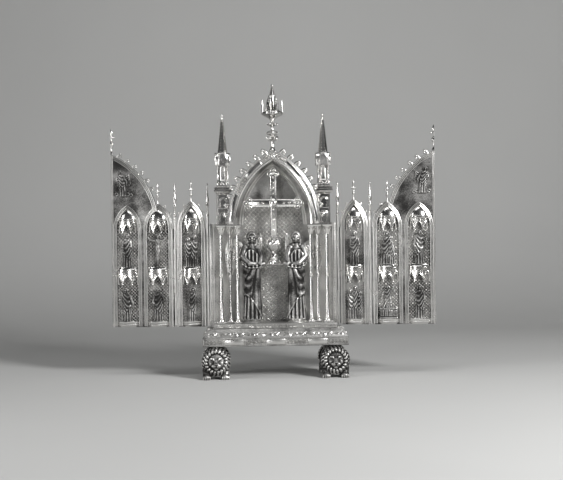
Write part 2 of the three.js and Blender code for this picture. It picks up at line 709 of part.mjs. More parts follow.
// The twelve scenes. Each gives its solids with the middle of the bay at x = 0.
const SCENES = {
  standing_saint: () => [reliefFigure({ height: 86, hands: [[-0.06, 0.6], [0.08, 0.56]] })],
  crucified_figure: () => [
    reliefFigure({ height: 84, wide: 0.62, hands: [[-0.26, 0.86], [0.26, 0.86]], head: -2 }),
    reliefBlock(-22, 22, 68, 73, 3),
    reliefBlock(-2.5, 2.5, 0, 85, 3),
  ],
  two_mourners: () => [
    reliefFigure({ height: 80, x: -7, hands: [[0.1, 0.6]] }),
    reliefFigure({ height: 74, x: 9, hands: [[-0.1, 0.6]] }),
  ],
  striding_figure: () => [
    reliefFigure({ height: 84, lean: 0.08, hands: [[-0.2, 0.5], [0.2, 0.66]] }),
    reliefBlock(14, 17, 0, 74, 4),
  ],
  pointing_figure: () => [reliefFigure({ height: 85, hands: [[-0.24, 0.66], [0.1, 0.5]] })],
  bound_figure: () => [
    reliefFigure({ height: 85, wide: 0.8, lean: -0.04, hands: [[0.08, 0.42], [0.08, 0.42]] }),
  ],
  reading_saint: () => [
    reliefFigure({ height: 86, hands: [[0.02, 0.58], [0.1, 0.6]] }),
    reliefBlock(2, 12, 48, 60, 10),
  ],
  embracing_pair: () => [
    reliefFigure({ height: 84, x: -8, lean: 0.08, hands: [[0.12, 0.58], [0.2, 0.66]] }),
    reliefFigure({ height: 72, x: 10, lean: -0.1, hands: [[-0.16, 0.6]] }),
  ],
  robed_prophet: () => [reliefFigure({ height: 86, hands: [[-0.1, 0.5], [0.2, 0.72]] })],
  group_of_three: () => [
    reliefFigure({ height: 76, x: -11, wide: 0.8, hands: [] }),
    reliefFigure({ height: 84, x: 1, wide: 0.8, hands: [[-0.04, 0.6]] }),
    reliefFigure({ height: 70, x: 12, wide: 0.8, hands: [] }),
  ],
  rising_figure: () => [
    reliefFigure({ height: 66, z: 18, lean: -0.06, hands: [[-0.2, 0.62], [0.24, 0.8]] }),
    reliefBlock(-22, 22, 0, 26, 9.5),
    limb([point(-14, RELIEF_BACK - 8, 24), point(16, RELIEF_BACK - 8, 84)], [1.4, 1.4], 4),
  ],
  blessing_saint: () => [reliefFigure({ height: 85, hands: [[-0.16, 0.78], [0.08, 0.54]] })],
};

function scene(name, bay, foot) {
  return join(SCENES[name]()).translate([bay.u, 0, foot + GAP]);
}

// The angel that rises out of a cloud in the corner over the edge bay.
function spandrelAngel() {
  const figure = reliefFigure({ height: 66, lean: 0.16, wide: 1.1, hands: [[-0.22, 0.5], [0.1, 0.6]] });
  const wings = [[-4, -15], [7, 13]].map(([from, to]) => limb([
    point(from, RELIEF_BACK - 3, 44), point(to, RELIEF_BACK - 3, 52),
    point(to * 1.25, RELIEF_BACK - 3, 30),
  ], [5, 6, 2], 4, 0.4));
  const cloud = limb([
    point(-18, RELIEF_BACK - 3.5, 0), point(-4, RELIEF_BACK - 4, 5), point(12, RELIEF_BACK - 3.5, 2),
  ], [5, 7, 5], 4, 0.5);
  return join([figure, ...wings, cloud]).translate([EDGE_BAY.u + 9, 0, 450]);
}

const LEFT_SCENES = {
  inner: ['two_mourners', 'bound_figure'],
  hinge: ['crucified_figure', 'pointing_figure'],
  edge: ['standing_saint', 'striding_figure'],
};
const RIGHT_SCENES = {
  inner: ['reading_saint', 'group_of_three'],
  hinge: ['embracing_pair', 'rising_figure'],
  edge: ['robed_prophet', 'blessing_saint'],
};

const bright = silver(0.72, 0.28);
const worn = silver(0.5, 0.4);
const dark = silver(0.34, 0.5);

// What a bay holds: canopy, middle shelf and the scenes of both storeys.
function bayPieces(side, place, bay, scenes) {
  const [upper, lower] = scenes;
  return [
    piece(`${side}_${place}_canopy`, canopy(bay), bright),
    piece(`${side}_${place}_middle_shelf`, middleShelf(bay), bright),
    piece(`${side}_${place}_upper_${upper}`, scene(upper, bay, MID_SHELF_TOP), worn),
    piece(`${side}_${place}_lower_${lower}`, scene(lower, bay, SHELF_TOP), worn),
  ];
}

// One wing, drawn on the right. The left one is the same wing mirrored, with its own scenes.
function wing(side, scenes, angles) {
  const inner = new THREE.Group();
  inner.position.set(HINGE_X, HINGE_Y, 0);
  inner.rotation.z = -rad(angles.inner);
  const outer = new THREE.Group();
  outer.position.set(INNER_SPAN, 0, 0);
  outer.rotation.z = -rad(angles.outer);
  inner.add(
    piece(`${side}_inner_leaf`, innerLeaf(), worn),
    ...bayPieces(side, 'inner', INNER_BAY, scenes.inner),
    outer,
  );
  const outerPin = piece(`${side}_outer_hinge_pin`, hingePin(), bright);
  outerPin.position.set(INNER_SPAN, 0, 0);
  inner.add(outerPin);
  outer.add(
    piece(`${side}_outer_leaf`, outerLeaf(), worn),
    ...bayPieces(side, 'hinge', HINGE_BAY, scenes.hinge),
    ...bayPieces(side, 'edge', EDGE_BAY, scenes.edge),
    piece(`${side}_spandrel_angel`, spandrelAngel(), worn),
    piece(`${side}_half_finial`, halfFinial(), bright),
  );
  const innerPin = piece(`${side}_inner_hinge_pin`, hingePin(), bright);
  innerPin.position.set(HINGE_X, HINGE_Y, 0);
  const whole = new THREE.Group();
  whole.scale.x = side === 'left' ? -1 : 1;
  whole.add(inner, innerPin);
  return whole;
}

const shrine = new THREE.Group();
shrine.add(
  piece('base', base(), worn),
  piece('back_wall', backWall(), worn),
  piece('gable', gable(), bright),
  piece('central_finial', centralFinial().translate([0, FINIAL_Y, 0]), bright),
  piece('cross_stand', crossStand(), bright),
  piece('reliquary_cross', cross(), bright),
);
for (const [side, sign] of [['left', -1], ['right', 1]]) {
  const mirrored = new THREE.Group();
  mirrored.scale.x = sign;
  for (const [end, turn] of [['front', 0], ['rear', 180]]) {
    const lion = piece(`${side}_${end}_lion_foot`, lionFoot().rotate([0, 0, turn]), dark);
    lion.position.x = LION_X;
    mirrored.add(lion);
  }
  const columns = [
    ['outer', 130, -20, 4.4, 11.5], ['middle', 108, -6, 4, 8.5], ['inner', 90, -23, 4, 8.5],
  ];
  for (const [place, x, y, radius, plinth] of columns) {
    const shaft = piece(`${side}_${place}_column`, column(radius, plinth), bright);
    shaft.position.set(x, y, 0);
    mirrored.add(shaft);
  }
  const corner = piece(`${side}_tower`, tower(), bright);
  corner.position.set(TOWER_X, TOWER_Y, 0);
  mirrored.add(corner, piece(`${side}_angel`, angel(), bright));
  shrine.add(mirrored);
}
shrine.add(
  wing('left', LEFT_SCENES, OPEN_ANGLES.left),
  wing('right', RIGHT_SCENES, OPEN_ANGLES.right),
);

export default shrine;
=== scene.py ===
"""A Gothic folding shrine in silver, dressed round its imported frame.

Every piece is drawn in millimetres in the frame of the shrine, or of the leaf that carries it,
and is set into the shared frame in metres when it is done.
"""

import math
import random

import bpy
import numpy as np
from mathutils import Matrix, Vector


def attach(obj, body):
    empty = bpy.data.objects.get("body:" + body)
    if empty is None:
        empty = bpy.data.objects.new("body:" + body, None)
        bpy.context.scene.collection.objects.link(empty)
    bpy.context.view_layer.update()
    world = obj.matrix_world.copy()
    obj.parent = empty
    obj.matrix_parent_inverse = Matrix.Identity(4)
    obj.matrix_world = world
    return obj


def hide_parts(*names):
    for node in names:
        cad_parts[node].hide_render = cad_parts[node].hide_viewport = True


bl_info = {"name": "Gothic folding shrine", "version": (1, 0, 0), "blender": (4, 5, 0),
    "location": "View3D > Sidebar > Shrine",
    "description": "Models the silver pieces of a folding shrine and its studio",
    "category": "Object",}

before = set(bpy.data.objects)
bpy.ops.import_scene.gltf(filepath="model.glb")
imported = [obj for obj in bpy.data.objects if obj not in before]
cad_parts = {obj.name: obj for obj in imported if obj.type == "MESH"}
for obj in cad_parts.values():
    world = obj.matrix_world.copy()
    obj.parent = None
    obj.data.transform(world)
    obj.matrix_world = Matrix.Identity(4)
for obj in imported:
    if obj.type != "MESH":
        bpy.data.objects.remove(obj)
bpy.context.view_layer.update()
MM = 0.001
TAU = 2 * math.pi

# Sizes that the solids share, in millimetres.
GAP = 0.3
FRONT = -33.5
BASE_BOTTOM, BAND_TOP, CHAMFER_TOP, LEDGE_TOP, PLATFORM_TOP = 80, 101, 115, 121, 134
BASE_HALF_WIDTH, BASE_HALF_DEPTH, CHAMFER_RUN = 177, 59, 10
PLATFORM_HALF_WIDTH = 151
BASE_FIELDS = 7
LION_X, LION_FACE_Z, LION_FRONT = 145, 43, -62
LION_VOXEL = 1.35
# The rings of locks in a mane: radius, count and first angle.
LION_LOCK_RINGS = ((25, 19, 0.16), (28.5, 21, 0.0), (31.5, 25, 0.05))
# A lock from its root: out along the mane, turned, back from the ring, and its thickness.
LION_LOCK = ((-3.4, 0, -0.4, 0.75), (-0.6, 0.03, -1.6, 1.05), (2.2, 0.1, -0.6, 0.95),
    (3, 0.2, 1.4, 0.6))
# The curls on a flank: out, back and height.
LION_FLANK_CURLS = ((0, 0, 20), (2, 6, 30), (1, 12, 14))
WALL_FRONT, WALL_BACK, WALL_HALF_WIDTH, WALL_SHOULDER = 31, 39, 159, 379
WALL_FRAME = 12
SPRINGING, ARCH_OFFSET = 375, 86.7
GABLE_OUTER, GABLE_INNER, VAULT_OUTER, GABLE_BACK = 114, 95, 103, -25
CROCKET_Y = -29.5
RIB_OUTER, RIB_INNER, RIB_OFFSET, RIB_PROUD = 84, 75, 97.3, 5
COLUMN_TOP, ANNULET_Z = SPRINGING - GAP, 250
TOWER_X, TOWER_Y = 124, -3
# The columns on the right: place, x, y, radius and half the width of the plinth.
COLUMNS = (("outer", 130, -20, 4.4, 11.5), ("middle", 108, -6, 4, 8.5), ("inner", 90, -23, 4, 8.5))
RIDGE_TOP, FINIAL_Y, TOP = 555, -2, 720
HINGE_X, HINGE_Y, INNER_SPAN, OUTER_SPAN = 163, 35, 81, 161.5
EDGE, HALF_THICK, FIELD_SUNK = 4, 3, 2.5
WING_BOTTOM, SHELF_TOP, WING_SPRINGING = 123, 137, 367
RELIEF_BACK = -(HALF_THICK - FIELD_SUNK) - GAP
RELIEF_DEPTH = 10.5
MID_SHELF_BOTTOM, MID_SHELF_TOP, ARCADE_DROP = 258, 272, 30
CANOPY_RIM, CANOPY_TOP = 388, 416
QUARTER_ARCH_TOP, QUARTER_ARCH_OFFSET = 556, 75
# Where the crockets sit, as shares of the way up their arch.
BAY_CROCKETS = (0.52, 0.8)
QUARTER_ARCH_CROCKETS = (0.42, 0.52, 0.62, 0.72, 0.82, 0.92)
HALF_FINIAL_TOP, SPIRE_TOP = 620, 480
KNUCKLE_RADIUS, PIN_RADIUS = 3.4, 1.5
KNUCKLE_LEVELS = (126, 208, 316, 398)
OPEN_ANGLES = {"left": (0, -9), "right": (7, 0)}
SIDES = (("left", -1), ("right", 1))

# Edges sharper than this many degrees stay sharp, on built pieces and on cast ones.
BUILT_EDGE, CAST_EDGE = 35, 60

BAYS = {"inner": {"u": 40.5, "arch": 33, "field": 25, "offset": 53.6, "rim": 20},
    "hinge": {"u": 43.5, "arch": 37, "field": 28, "offset": 34.7, "rim": 22},
    "edge": {"u": 121, "arch": 37, "field": 28, "offset": 34.7, "rim": 22},}

# The photograph's frame and where the shrine stands in it.
PHOTO_WIDTH = 563
SENSOR = 36.0
CAMERA_DISTANCE, CAMERA_HEIGHT, CAMERA_AZIMUTH, CAMERA_ROLL = 2600, 330, -2.7, -0.7
FOCAL_PIXELS = 1052.7
OBJECT_AXIS_PIXEL, HORIZON_PIXEL = (273.7, 281.5), (242.6, 240.0)


class ShrineFinish(bpy.types.PropertyGroup):
    """The colours of the silver."""

    bright: bpy.props.FloatVectorProperty(
        name="Bright silver", description="Colour of the rubbed metal",
        subtype="COLOR", default=(0.8, 0.79, 0.77), min=0, max=1)
    # The dark colour of the patina, also painted into the hollows as shade.
    tarnish_and_shade: bpy.props.FloatVectorProperty(
        name="Tarnish and shade", description="Colour of the metal in the hollows",
        subtype="COLOR", default=(0.02, 0.019, 0.018), min=0, max=1)
    ground: bpy.props.FloatVectorProperty(
        name="Ground", description="Colour of the chased grounds",
        subtype="COLOR", default=(0.42, 0.415, 0.4), min=0, max=1)


class ShrineStudio(bpy.types.PropertyGroup):
    """The room round the shrine."""

    floor: bpy.props.FloatVectorProperty(
        name="Floor", description="Colour of the floor and backdrop",
        subtype="COLOR", default=(0.56, 0.56, 0.55), min=0, max=1)
    key: bpy.props.FloatProperty(
        name="Key light", description="Power of the large light", default=82.0, min=0, unit="POWER")
    fill: bpy.props.FloatProperty(
        name="Fill light", description="Power of the soft light", default=19.0, min=0, unit="POWER")


class Wire:
    """A shader socket that takes arithmetic."""

    def __init__(self, tree, socket):
        self.tree, self.socket = tree, socket

    def node(self, kind, settings=None, **values):
        return shader_node(self.tree, kind, settings or {}, values)

    def math(self, operation, *values):
        made = self.tree.nodes.new("ShaderNodeMath")
        made.operation = operation
        for slot, value in zip(made.inputs, (self, *values)):
            feed(self.tree, slot, value)
        return Wire(self.tree, made.outputs[0])

    def reversed_math(self, operation, value):
        made = self.tree.nodes.new("ShaderNodeMath")
        made.operation = operation
        feed(self.tree, made.inputs[0], value)
        feed(self.tree, made.inputs[1], self)
        return Wire(self.tree, made.outputs[0])

    def __add__(self, other):
        return self.math("ADD", other)

    def __sub__(self, other):
        return self.math("SUBTRACT", other)

    def __rsub__(self, other):
        return self.reversed_math("SUBTRACT", other)

    def __mul__(self, other):
        return self.math("MULTIPLY", other)

    __radd__, __rmul__ = __add__, __mul__

    def clamp(self, low, high):
        """Runs from 0 at low to 1 at high."""
        made = self.tree.nodes.new("ShaderNodeMapRange")
        made.interpolation_type = "SMOOTHSTEP"
        feed(self.tree, made.inputs["Value"], self)
        feed(self.tree, made.inputs["From Min"], low)
        feed(self.tree, made.inputs["From Max"], high)
        return Wire(self.tree, made.outputs["Result"])


def feed(tree, socket, value):
    """Sets a socket, or links a wire to it."""
    if isinstance(value, Wire):
        tree.links.new(value.socket, socket)
    else:
        socket.default_value = value


def shader_node(tree, kind, settings, values):
    """A node of a kind, with its settings made first and then its sockets by name."""
    made = tree.nodes.new("ShaderNode" + kind)
    for name, value in settings.items():
        setattr(made, name, value)
    for name, value in values.items():
        feed(tree, made.inputs[name.replace("_", " ")], value)
    return made


def blend_colours(tree, factor, first, second):
    made = tree.nodes.new("ShaderNodeMix")
    made.data_type = "RGBA"
    feed(tree, made.inputs["Factor"], factor)
    for slot, colour in ((made.inputs[6], first), (made.inputs[7], second)):
        feed(tree, slot, colour if isinstance(colour, Wire) else (*colour, 1))
    return Wire(tree, made.outputs[2])


def silver(name, less_patina_and_shade=0.5, ground=0.0, rough=0.26, grain=0.12, chased=0.0):
    """Silver with patina and painted shade in its hollows. A piece's own attribute hollow says
    where those are.

    less_patina_and_shade is how far the patina and painted shade are lifted, ground mixes in the
    colour of the grounds, grain is the depth of the fine hammering and chased the depth of a
    closer, stippled one.
    """
    finish = bpy.context.scene.shrine_finish
    material = bpy.data.materials.new(name)
    material.use_nodes = True
    tree = material.node_tree
    tree.nodes.clear()
    place = Wire(tree, shader_node(tree, "TexCoord", {}, {}).outputs["Object"])
    hollow = Wire(tree, shader_node(
        tree, "Attribute", {"attribute_name": "hollow"}, {}).outputs["Fac"])
    broad = Wire(tree, shader_node(
        tree, "TexNoise", {}, {"Vector": place, "Scale": 26.0, "Detail": 4.0}).outputs["Fac"])
    fine = Wire(tree, shader_node(
        tree, "TexNoise", {}, {"Vector": place, "Scale": 420.0, "Detail": 3.0}).outputs["Fac"])
    cells = Wire(tree, shader_node(
        tree, "TexVoronoi", {}, {"Vector": place, "Scale": 700.0}).outputs["Distance"])
    # Patina and painted shade: darkest where the attribute hollow is high, with random patches of
    # patina; it also dulls the metal.
    patina_and_shade = (hollow * 1.68 + (broad - 0.5) * 0.8 + (fine - 0.5) * 0.4).clamp(
        0.1 + 0.6 * less_patina_and_shade, 0.7 + 0.6 * less_patina_and_shade)
    metal = blend_colours(tree, broad * ground, tuple(finish.bright), tuple(finish.ground))
    colour = blend_colours(tree, patina_and_shade, metal, tuple(finish.tarnish_and_shade))
    height = fine * grain + cells * chased
    bump = shader_node(tree, "Bump", {}, {"Strength": 0.35, "Distance": 0.0006, "Height": height})
    shader = shader_node(tree, "BsdfPrincipled", {}, {
        "Base Color": colour, "Metallic": 1.0 - patina_and_shade * 0.35,
        "Roughness": patina_and_shade * 0.3 + (broad * 0.16 + (rough - 0.08)),
        "Normal": Wire(tree, bump.outputs["Normal"])})
    out = tree.nodes.new("ShaderNodeOutputMaterial")
    tree.links.new(shader.outputs[0], out.inputs["Surface"])
    return material


def studio_surface(name, colour):
    material = bpy.data.materials.new(name)
    material.use_nodes = True
    tree = material.node_tree
    tree.nodes.clear()
    place = Wire(tree, shader_node(tree, "TexCoord", {}, {}).outputs["Object"])
    cloud = Wire(tree, shader_node(
        tree, "TexNoise", {}, {"Vector": place, "Scale": 1.2, "Detail": 3.0}).outputs["Fac"])
    paler = tuple(min(1.0, c * 1.12) for c in colour)
    shader = shader_node(tree, "BsdfPrincipled", {}, {
        "Base Color": blend_colours(tree, cloud, tuple(colour), paler), "Roughness": 0.9})
    out = tree.nodes.new("ShaderNodeOutputMaterial")
    tree.links.new(shader.outputs[0], out.inputs["Surface"])
    return material


def only(obj):
    """Selects one object and makes it active."""
    bpy.ops.object.select_all(action="DESELECT")
    obj.select_set(True)
    bpy.context.view_layer.objects.active = obj
    return obj


def apply_modifier(obj, kind, **settings):
    only(obj)
    bpy.ops.object.modifier_add(type=kind)
    added = obj.modifiers[-1]
    for name, value in settings.items():
        setattr(added, name, value)
    bpy.ops.object.modifier_apply(modifier=added.name)
    return obj


def baked(obj):
    """Puts an object's place, turn and scale into its mesh."""
    only(obj)
    bpy.ops.object.transform_apply(location=True, rotation=True, scale=True)
    return obj


def joined(parts, name=None):
    """Joins objects into the first one."""
    bpy.ops.object.select_all(action="DESELECT")
    for part in parts:
        part.select_set(True)
    bpy.context.view_layer.objects.active = parts[0]
    if len(parts) > 1:
        bpy.ops.object.join()
    if name:
        parts[0].name = name
    return parts[0]


def mesh_object(vertices, faces, name="part"):
    mesh = bpy.data.meshes.new(name)
    mesh.from_pydata([tuple(v) for v in vertices], [], faces)
    mesh.validate()
    obj = bpy.data.objects.new(name, mesh)
    bpy.context.collection.objects.link(obj)
    return obj


def outward(obj):
    only(obj)
    bpy.ops.object.mode_set(mode="EDIT")
    bpy.ops.mesh.select_all(action="SELECT")
    bpy.ops.mesh.normals_make_consistent(inside=False)
    bpy.ops.object.mode_set(mode="OBJECT")
    return obj


def block(x0, x1, y0, y1, z0, z1, bevel=0.0):
    """A block with its edges bevelled."""
    bpy.ops.object.select_all(action="DESELECT")
    middle = ((x0 + x1) / 2, (y0 + y1) / 2, (z0 + z1) / 2)
    bpy.ops.mesh.primitive_cube_add(size=1, location=middle, scale=(x1 - x0, y1 - y0, z1 - z0))
    obj = baked(bpy.context.object)
    if bevel:
        apply_modifier(obj, "BEVEL", width=bevel, segments=2, limit_method="ANGLE")
    return obj


def ball(x, y, z, rx, ry=None, rz=None, segments=12):
    bpy.ops.object.select_all(action="DESELECT")
    bpy.ops.mesh.primitive_uv_sphere_add(
        segments=segments, ring_count=max(6, segments * 2 // 3), radius=1,
        location=(x, y, z), scale=(rx, ry or rx, rz or rx))
    return baked(bpy.context.object)


def turned(profile, sides=24, x=0.0, y=0.0, turn=0.0):
    """A turned piece: a circle is drawn up through a profile of radii and heights."""
    (radius, z), *rest = profile
    bpy.ops.object.select_all(action="DESELECT")
    bpy.ops.mesh.primitive_circle_add(
        vertices=sides, radius=radius, fill_type="NGON", location=(x, y, z), rotation=(0, 0, turn))
    obj = baked(bpy.context.object)
    bpy.ops.object.mode_set(mode="EDIT")
    bpy.ops.mesh.select_all(action="SELECT")
    for next_radius, next_z in rest:
        bpy.ops.mesh.extrude_region_move(TRANSFORM_OT_translate={"value": (0, 0, next_z - z)})
        share = max(next_radius, 0.02) / max(radius, 0.02)
        bpy.ops.transform.resize(value=(share, share, 1), center_override=(x, y, next_z))
        radius, z = next_radius, next_z
    bpy.ops.mesh.select_all(action="SELECT")
    bpy.ops.mesh.normals_make_consistent(inside=False)
    bpy.ops.object.mode_set(mode="OBJECT")
    return obj


def plank(outline, y0, y1, bevel=0.0):
    """An upright plate: an outline of x and z, pushed back from y0 to y1."""
    obj = mesh_object([(x, y0, z) for x, z in outline], [tuple(range(len(outline)))])
    only(obj)
    bpy.ops.object.mode_set(mode="EDIT")
    bpy.ops.mesh.select_all(action="SELECT")
    bpy.ops.mesh.extrude_region_move(TRANSFORM_OT_translate={"value": (0, y1 - y0, 0)})
    bpy.ops.mesh.select_all(action="SELECT")
    bpy.ops.mesh.normals_make_consistent(inside=False)
    bpy.ops.object.mode_set(mode="OBJECT")
    if bevel:
        apply_modifier(obj, "BEVEL", width=bevel, segments=2, limit_method="ANGLE")
    return obj


def strands(routes, radius, fine=0):
    """Round wires along routes of points, all as one mesh with closed ends."""
    curve = bpy.data.curves.new("strands", "CURVE")
    curve.dimensions = "3D"
    curve.bevel_depth = radius
    curve.bevel_resolution = fine
    curve.use_fill_caps = True
    for route in routes:
        spline = curve.splines.new("POLY")
        spline.points.add(len(route) - 1)
        for point, place in zip(spline.points, route):
            point.co = (*place[:3], 1)
            if len(place) > 3:
                point.radius = place[3]
    obj = bpy.data.objects.new("strands", curve)
    bpy.context.collection.objects.link(obj)
    only(obj)
    bpy.ops.object.convert(target="MESH")
    return bpy.context.object


def cast(parts, voxel, smooth=2):
    """Fuses overlapping parts into one skin, as a casting has."""
    whole = joined(parts)
    apply_modifier(whole, "REMESH", mode="VOXEL", voxel_size=voxel, use_smooth_shade=True)
    if smooth:
        apply_modifier(whole, "SMOOTH", factor=0.5, iterations=smooth)
    return whole


def note_hollows(obj, gain=1.0, spread=3):
    """Writes the attribute hollow: how far each point lies below its neighbours, which the silver
    paints as patina and shade.
    """
    mesh = obj.data
    count = len(mesh.vertices)
    places = np.empty(count * 3)
    normals = np.empty(count * 3)
    mesh.vertices.foreach_get("co", places)
    mesh.vertices.foreach_get("normal", normals)
    places, normals = places.reshape(-1, 3), normals.reshape(-1, 3)
    ends = np.empty(len(mesh.edges) * 2, dtype=int)
    mesh.edges.foreach_get("vertices", ends)
    a, b = ends.reshape(-1, 2).T
    degree = np.maximum(np.bincount(ends, minlength=count), 1)

    def around(values):
        total = np.zeros(values.shape)
        np.add.at(total, a, values[b])
        np.add.at(total, b, values[a])
        return total / (degree[:, None] if values.ndim > 1 else degree)

    wide = places
    for _ in range(spread):
        wide = (wide + around(wide)) / 2
    depth = np.einsum("ij,ij->i", wide - places, normals)
    hollow = np.clip(0.5 + depth * gain, 0, 1)
    hollow = (hollow + around(hollow)) / 2
    field = mesh.attributes.new("hollow", "FLOAT", "POINT")
    field.data.foreach_set("value", hollow.astype(np.float32))
    return obj


def leaf_matrix(side, part):
    """From the drawing of a leaf in millimetres to its place at rest."""
    sign = dict(SIDES)[side]
    inner, outer = OPEN_ANGLES[side]
    matrix = Matrix.Translation((HINGE_X, HINGE_Y, 0)) @ Matrix.Rotation(
        -math.radians(inner), 4, "Z")
    if part == "outer":
        matrix = matrix @ Matrix.Translation((INNER_SPAN, 0, 0)) @ Matrix.Rotation(
            -math.radians(outer), 4, "Z")
    return Matrix.Diagonal((sign, 1, 1, 1)) @ matrix


def finished(obj, name, body, nodes, material, matrix=None, smooth=BUILT_EDGE):
    """Sets a drawn piece into the frame, gives it its name, body and finish, and hides the imported
    parts it stands for.
    """
    matrix = matrix or Matrix.Identity(4)
    obj.name = name
    obj.data.name = name
    obj.data.transform(Matrix.Scale(MM, 4) @ matrix)
    if matrix.determinant() < 0:
        obj.data.flip_normals()
    obj.data.materials.clear()
    obj.data.materials.append(material)
    if smooth:
        only(obj)
        bpy.ops.object.shade_smooth_by_angle(angle=math.radians(smooth))
    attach(obj, body)
    if nodes:
        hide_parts(*nodes)
    return obj


def copied(obj, name):
    double = obj.copy()
    double.data = obj.data.copy()
    double.name = name
    bpy.context.collection.objects.link(double)
    return double


def arch(half, offset, springing, steps, middle=0.0):
    """A pointed arch from its right foot over the apex to its left foot."""
    radius = half + offset
    sweep = math.acos(offset / radius)
    right = [(radius * math.cos(k / steps * sweep) - offset,
        radius * math.sin(k / steps * sweep)) for k in range(steps + 1)]
    left = [(-x, z) for x, z in reversed(right[:-1])]
    return [(middle + x, springing + z) for x, z in right + left]


def on_arch(half, offset, springing, share, side, middle=0.0):
    """A point of a pointed arch with the direction that points away from it."""
    radius = half + offset
    angle = share * math.acos(offset / radius)
    return (middle + side * (radius * math.cos(angle) - offset),
        springing + radius * math.sin(angle), side * math.cos(angle), math.sin(angle))


def arch_width(half, offset, springing, z):
    """Half the width of a pointed arch at a height."""
    if z <= springing:
        return half
    radius = half + offset
    rise = z - springing
    return math.sqrt(max(radius**2 - rise**2, 0)) - offset


def bead_line(outline, y, radius, fine=1):
    """A round moulding along an outline of x and z."""
    return strands([[(x, y, z) for x, z in outline]], radius, fine)


def scroll(x, z, size, turn, hand, points=17):
    """A spiral scroll in a plane, from its centre out."""
    route = []
    for k in range(points):
        share = k / (points - 1)
        angle = turn + hand * share * 1.6 * TAU * 0.9
        reach = size * (0.12 + 0.88 * share)
        route.append((x + reach * math.cos(angle), z + reach * math.sin(angle)))
    return route


def filigree(u0, u1, v0, v1, surface, size=4.2, wire=0.62):
    """Scrolls of wire with a grain at each heart, laid over a rectangle of a surface."""
    across = max(1, round((u1 - u0) / (size * 2.05)))
    up = max(1, round((v1 - v0) / (size * 2.05)))
    step_u, step_v = (u1 - u0) / across, (v1 - v0) / up
    reach = min(step_u, step_v) / 2 * 0.98
    routes, grains = [], []
    for i in range(across):
        for j in range(up):
            u, v = u0 + (i + 0.5) * step_u, v0 + (j + 0.5) * step_v
            hand = 1 if (i + j) % 2 else -1
            route = scroll(u, v, reach, (i * 2 + j) * 1.1, hand)
            routes.append([surface(a, b, wire * 0.6) for a, b in route])
            grains.append(surface(u, v, wire * 1.6))
    return [strands(routes, wire), grain_cluster(grains, wire * 2.1)]


def grain_cluster(places, radius):
    """Small round grains as one mesh, each a low octahedron with a ridge."""
    vertices, faces = [], []
    ring = [(math.cos(k * TAU / 6), math.sin(k * TAU / 6)) for k in range(6)]
    for x, y, z in places:
        start = len(vertices)
        vertices += [(x, y - radius, z), (x, y + radius, z)]
        vertices += [(x + radius * c, y, z + radius * s) for c, s in ring]
        for k in range(6):
            a, b = start + 2 + k, start + 2 + (k + 1) % 6
            faces += [(start, a, b), (start + 1, b, a)]
    return outward(mesh_object(vertices, faces, "grains"))


def lozenges(inside, x0, x1, z0, z1, y, pitch, wire=0.4, slope=1.0):
    """Raised lines that cross as lozenges, kept to where inside is true, with a grain in each."""
    routes, grains = [], []
    for direction in (1, -1):
        reach = (z1 - z0) / slope
        start = x0 - (reach if direction > 0 else 0)
        stop = x1 + (0 if direction > 0 else reach)
        for k in range(int((stop - start) / pitch) + 2):
            foot = math.floor(start / pitch) * pitch + k * pitch
            line = []
            steps = int((z1 - z0) / 2)
            for s in range(steps + 1):
                z = z0 + (z1 - z0) * s / steps
                x = foot + direction * (z - z0) / slope
                if inside(x, z):
                    line.append((x, y, z))
                elif len(line) > 1:
                    routes.append([line[0], line[-1]])
                    line = []
                else:
                    line = []
            if len(line) > 1:
                routes.append([line[0], line[-1]])
    rows = int((z1 - z0) / (pitch * slope / 2)) + 1
    for row in range(rows):
        z = z0 + row * pitch * slope / 2
        shift = 0.5 * pitch if row % 2 == 0 else 0
        for k in range(int((x1 - x0) / pitch) + 2):
            x = math.floor(x0 / pitch) * pitch + k * pitch + shift
            if inside(x, z) and inside(x + 2, z) and inside(x - 2, z):
                grains.append((x, y, z))
    petal = pitch * 0.17
    petals = [(x + a * petal, y, z + b * petal) for x, y, z in grains
        for a, b in ((1, 1), (1, -1), (-1, 1), (-1, -1)) if inside(x + a * petal, z + b * petal)]
    return [strands(routes, wire), grain_cluster(grains, pitch * 0.1),
        grain_cluster(petals, pitch * 0.085)]


def repeated(master, matrices):
    """One mesh with a copy of a part at each place. The part itself is used up."""
    source = master.data
    points = np.empty(len(source.vertices) * 3)
    source.vertices.foreach_get("co", points)
    points = points.reshape(-1, 3)
    loops = [tuple(face.vertices) for face in source.polygons]
    vertices, faces = [], []
    for k, matrix in enumerate(matrices):
        turn = np.array(matrix.to_3x3())
        vertices.append(points @ turn.T + np.array(matrix.translation))
        start = k * len(points)
        step = -1 if matrix.determinant() < 0 else 1
        faces += [tuple(start + v for v in loop[::step]) for loop in loops]
    bpy.data.objects.remove(master)
    return mesh_object(np.concatenate(vertices), faces, "repeated")


def tone(obj, value):
    """Gives a whole part one depth of patina and painted shade."""
    field = obj.data.attributes.get("hollow") or obj.data.attributes.new(
        "hollow", "FLOAT", "POINT")
    field.data.foreach_set("value", np.full(len(obj.data.vertices), value, dtype=np.float32))
    return obj


def lay(parts, obj, hollow=0.0):
    """Adds a part to a piece, with one depth of patina and painted shade."""
    parts.append(tone(obj, hollow))


def unit_crocket():
    """A leaf that grows up a unit high and curls over towards +X into two balls."""
    stem = [(0, 0, -0.2, 0.9), (-0.06, 0, 0.3, 0.75), (0, 0, 0.72, 0.8), (0.3, 0, 0.98, 1.0),
        (0.62, 0, 0.88, 0.9), (0.66, 0, 0.62, 0.6)]
    return joined([strands([stem], 0.27, 2), ball(0.3, 0, 0.98, 0.31, segments=10),
        ball(0.66, 0, 0.56, 0.28, segments=10)])


def on_edge(at, size, y, curl):
    """The place of a crocket on an edge: at a point, out along its direction, curling down."""
    x, z, nx, nz = at
    return Matrix(((nz * curl * size, 0, nx * size, x), (0, size, 0, y),
        (-nx * curl * size, 0, nz * size, z), (0, 0, 0, 1)))


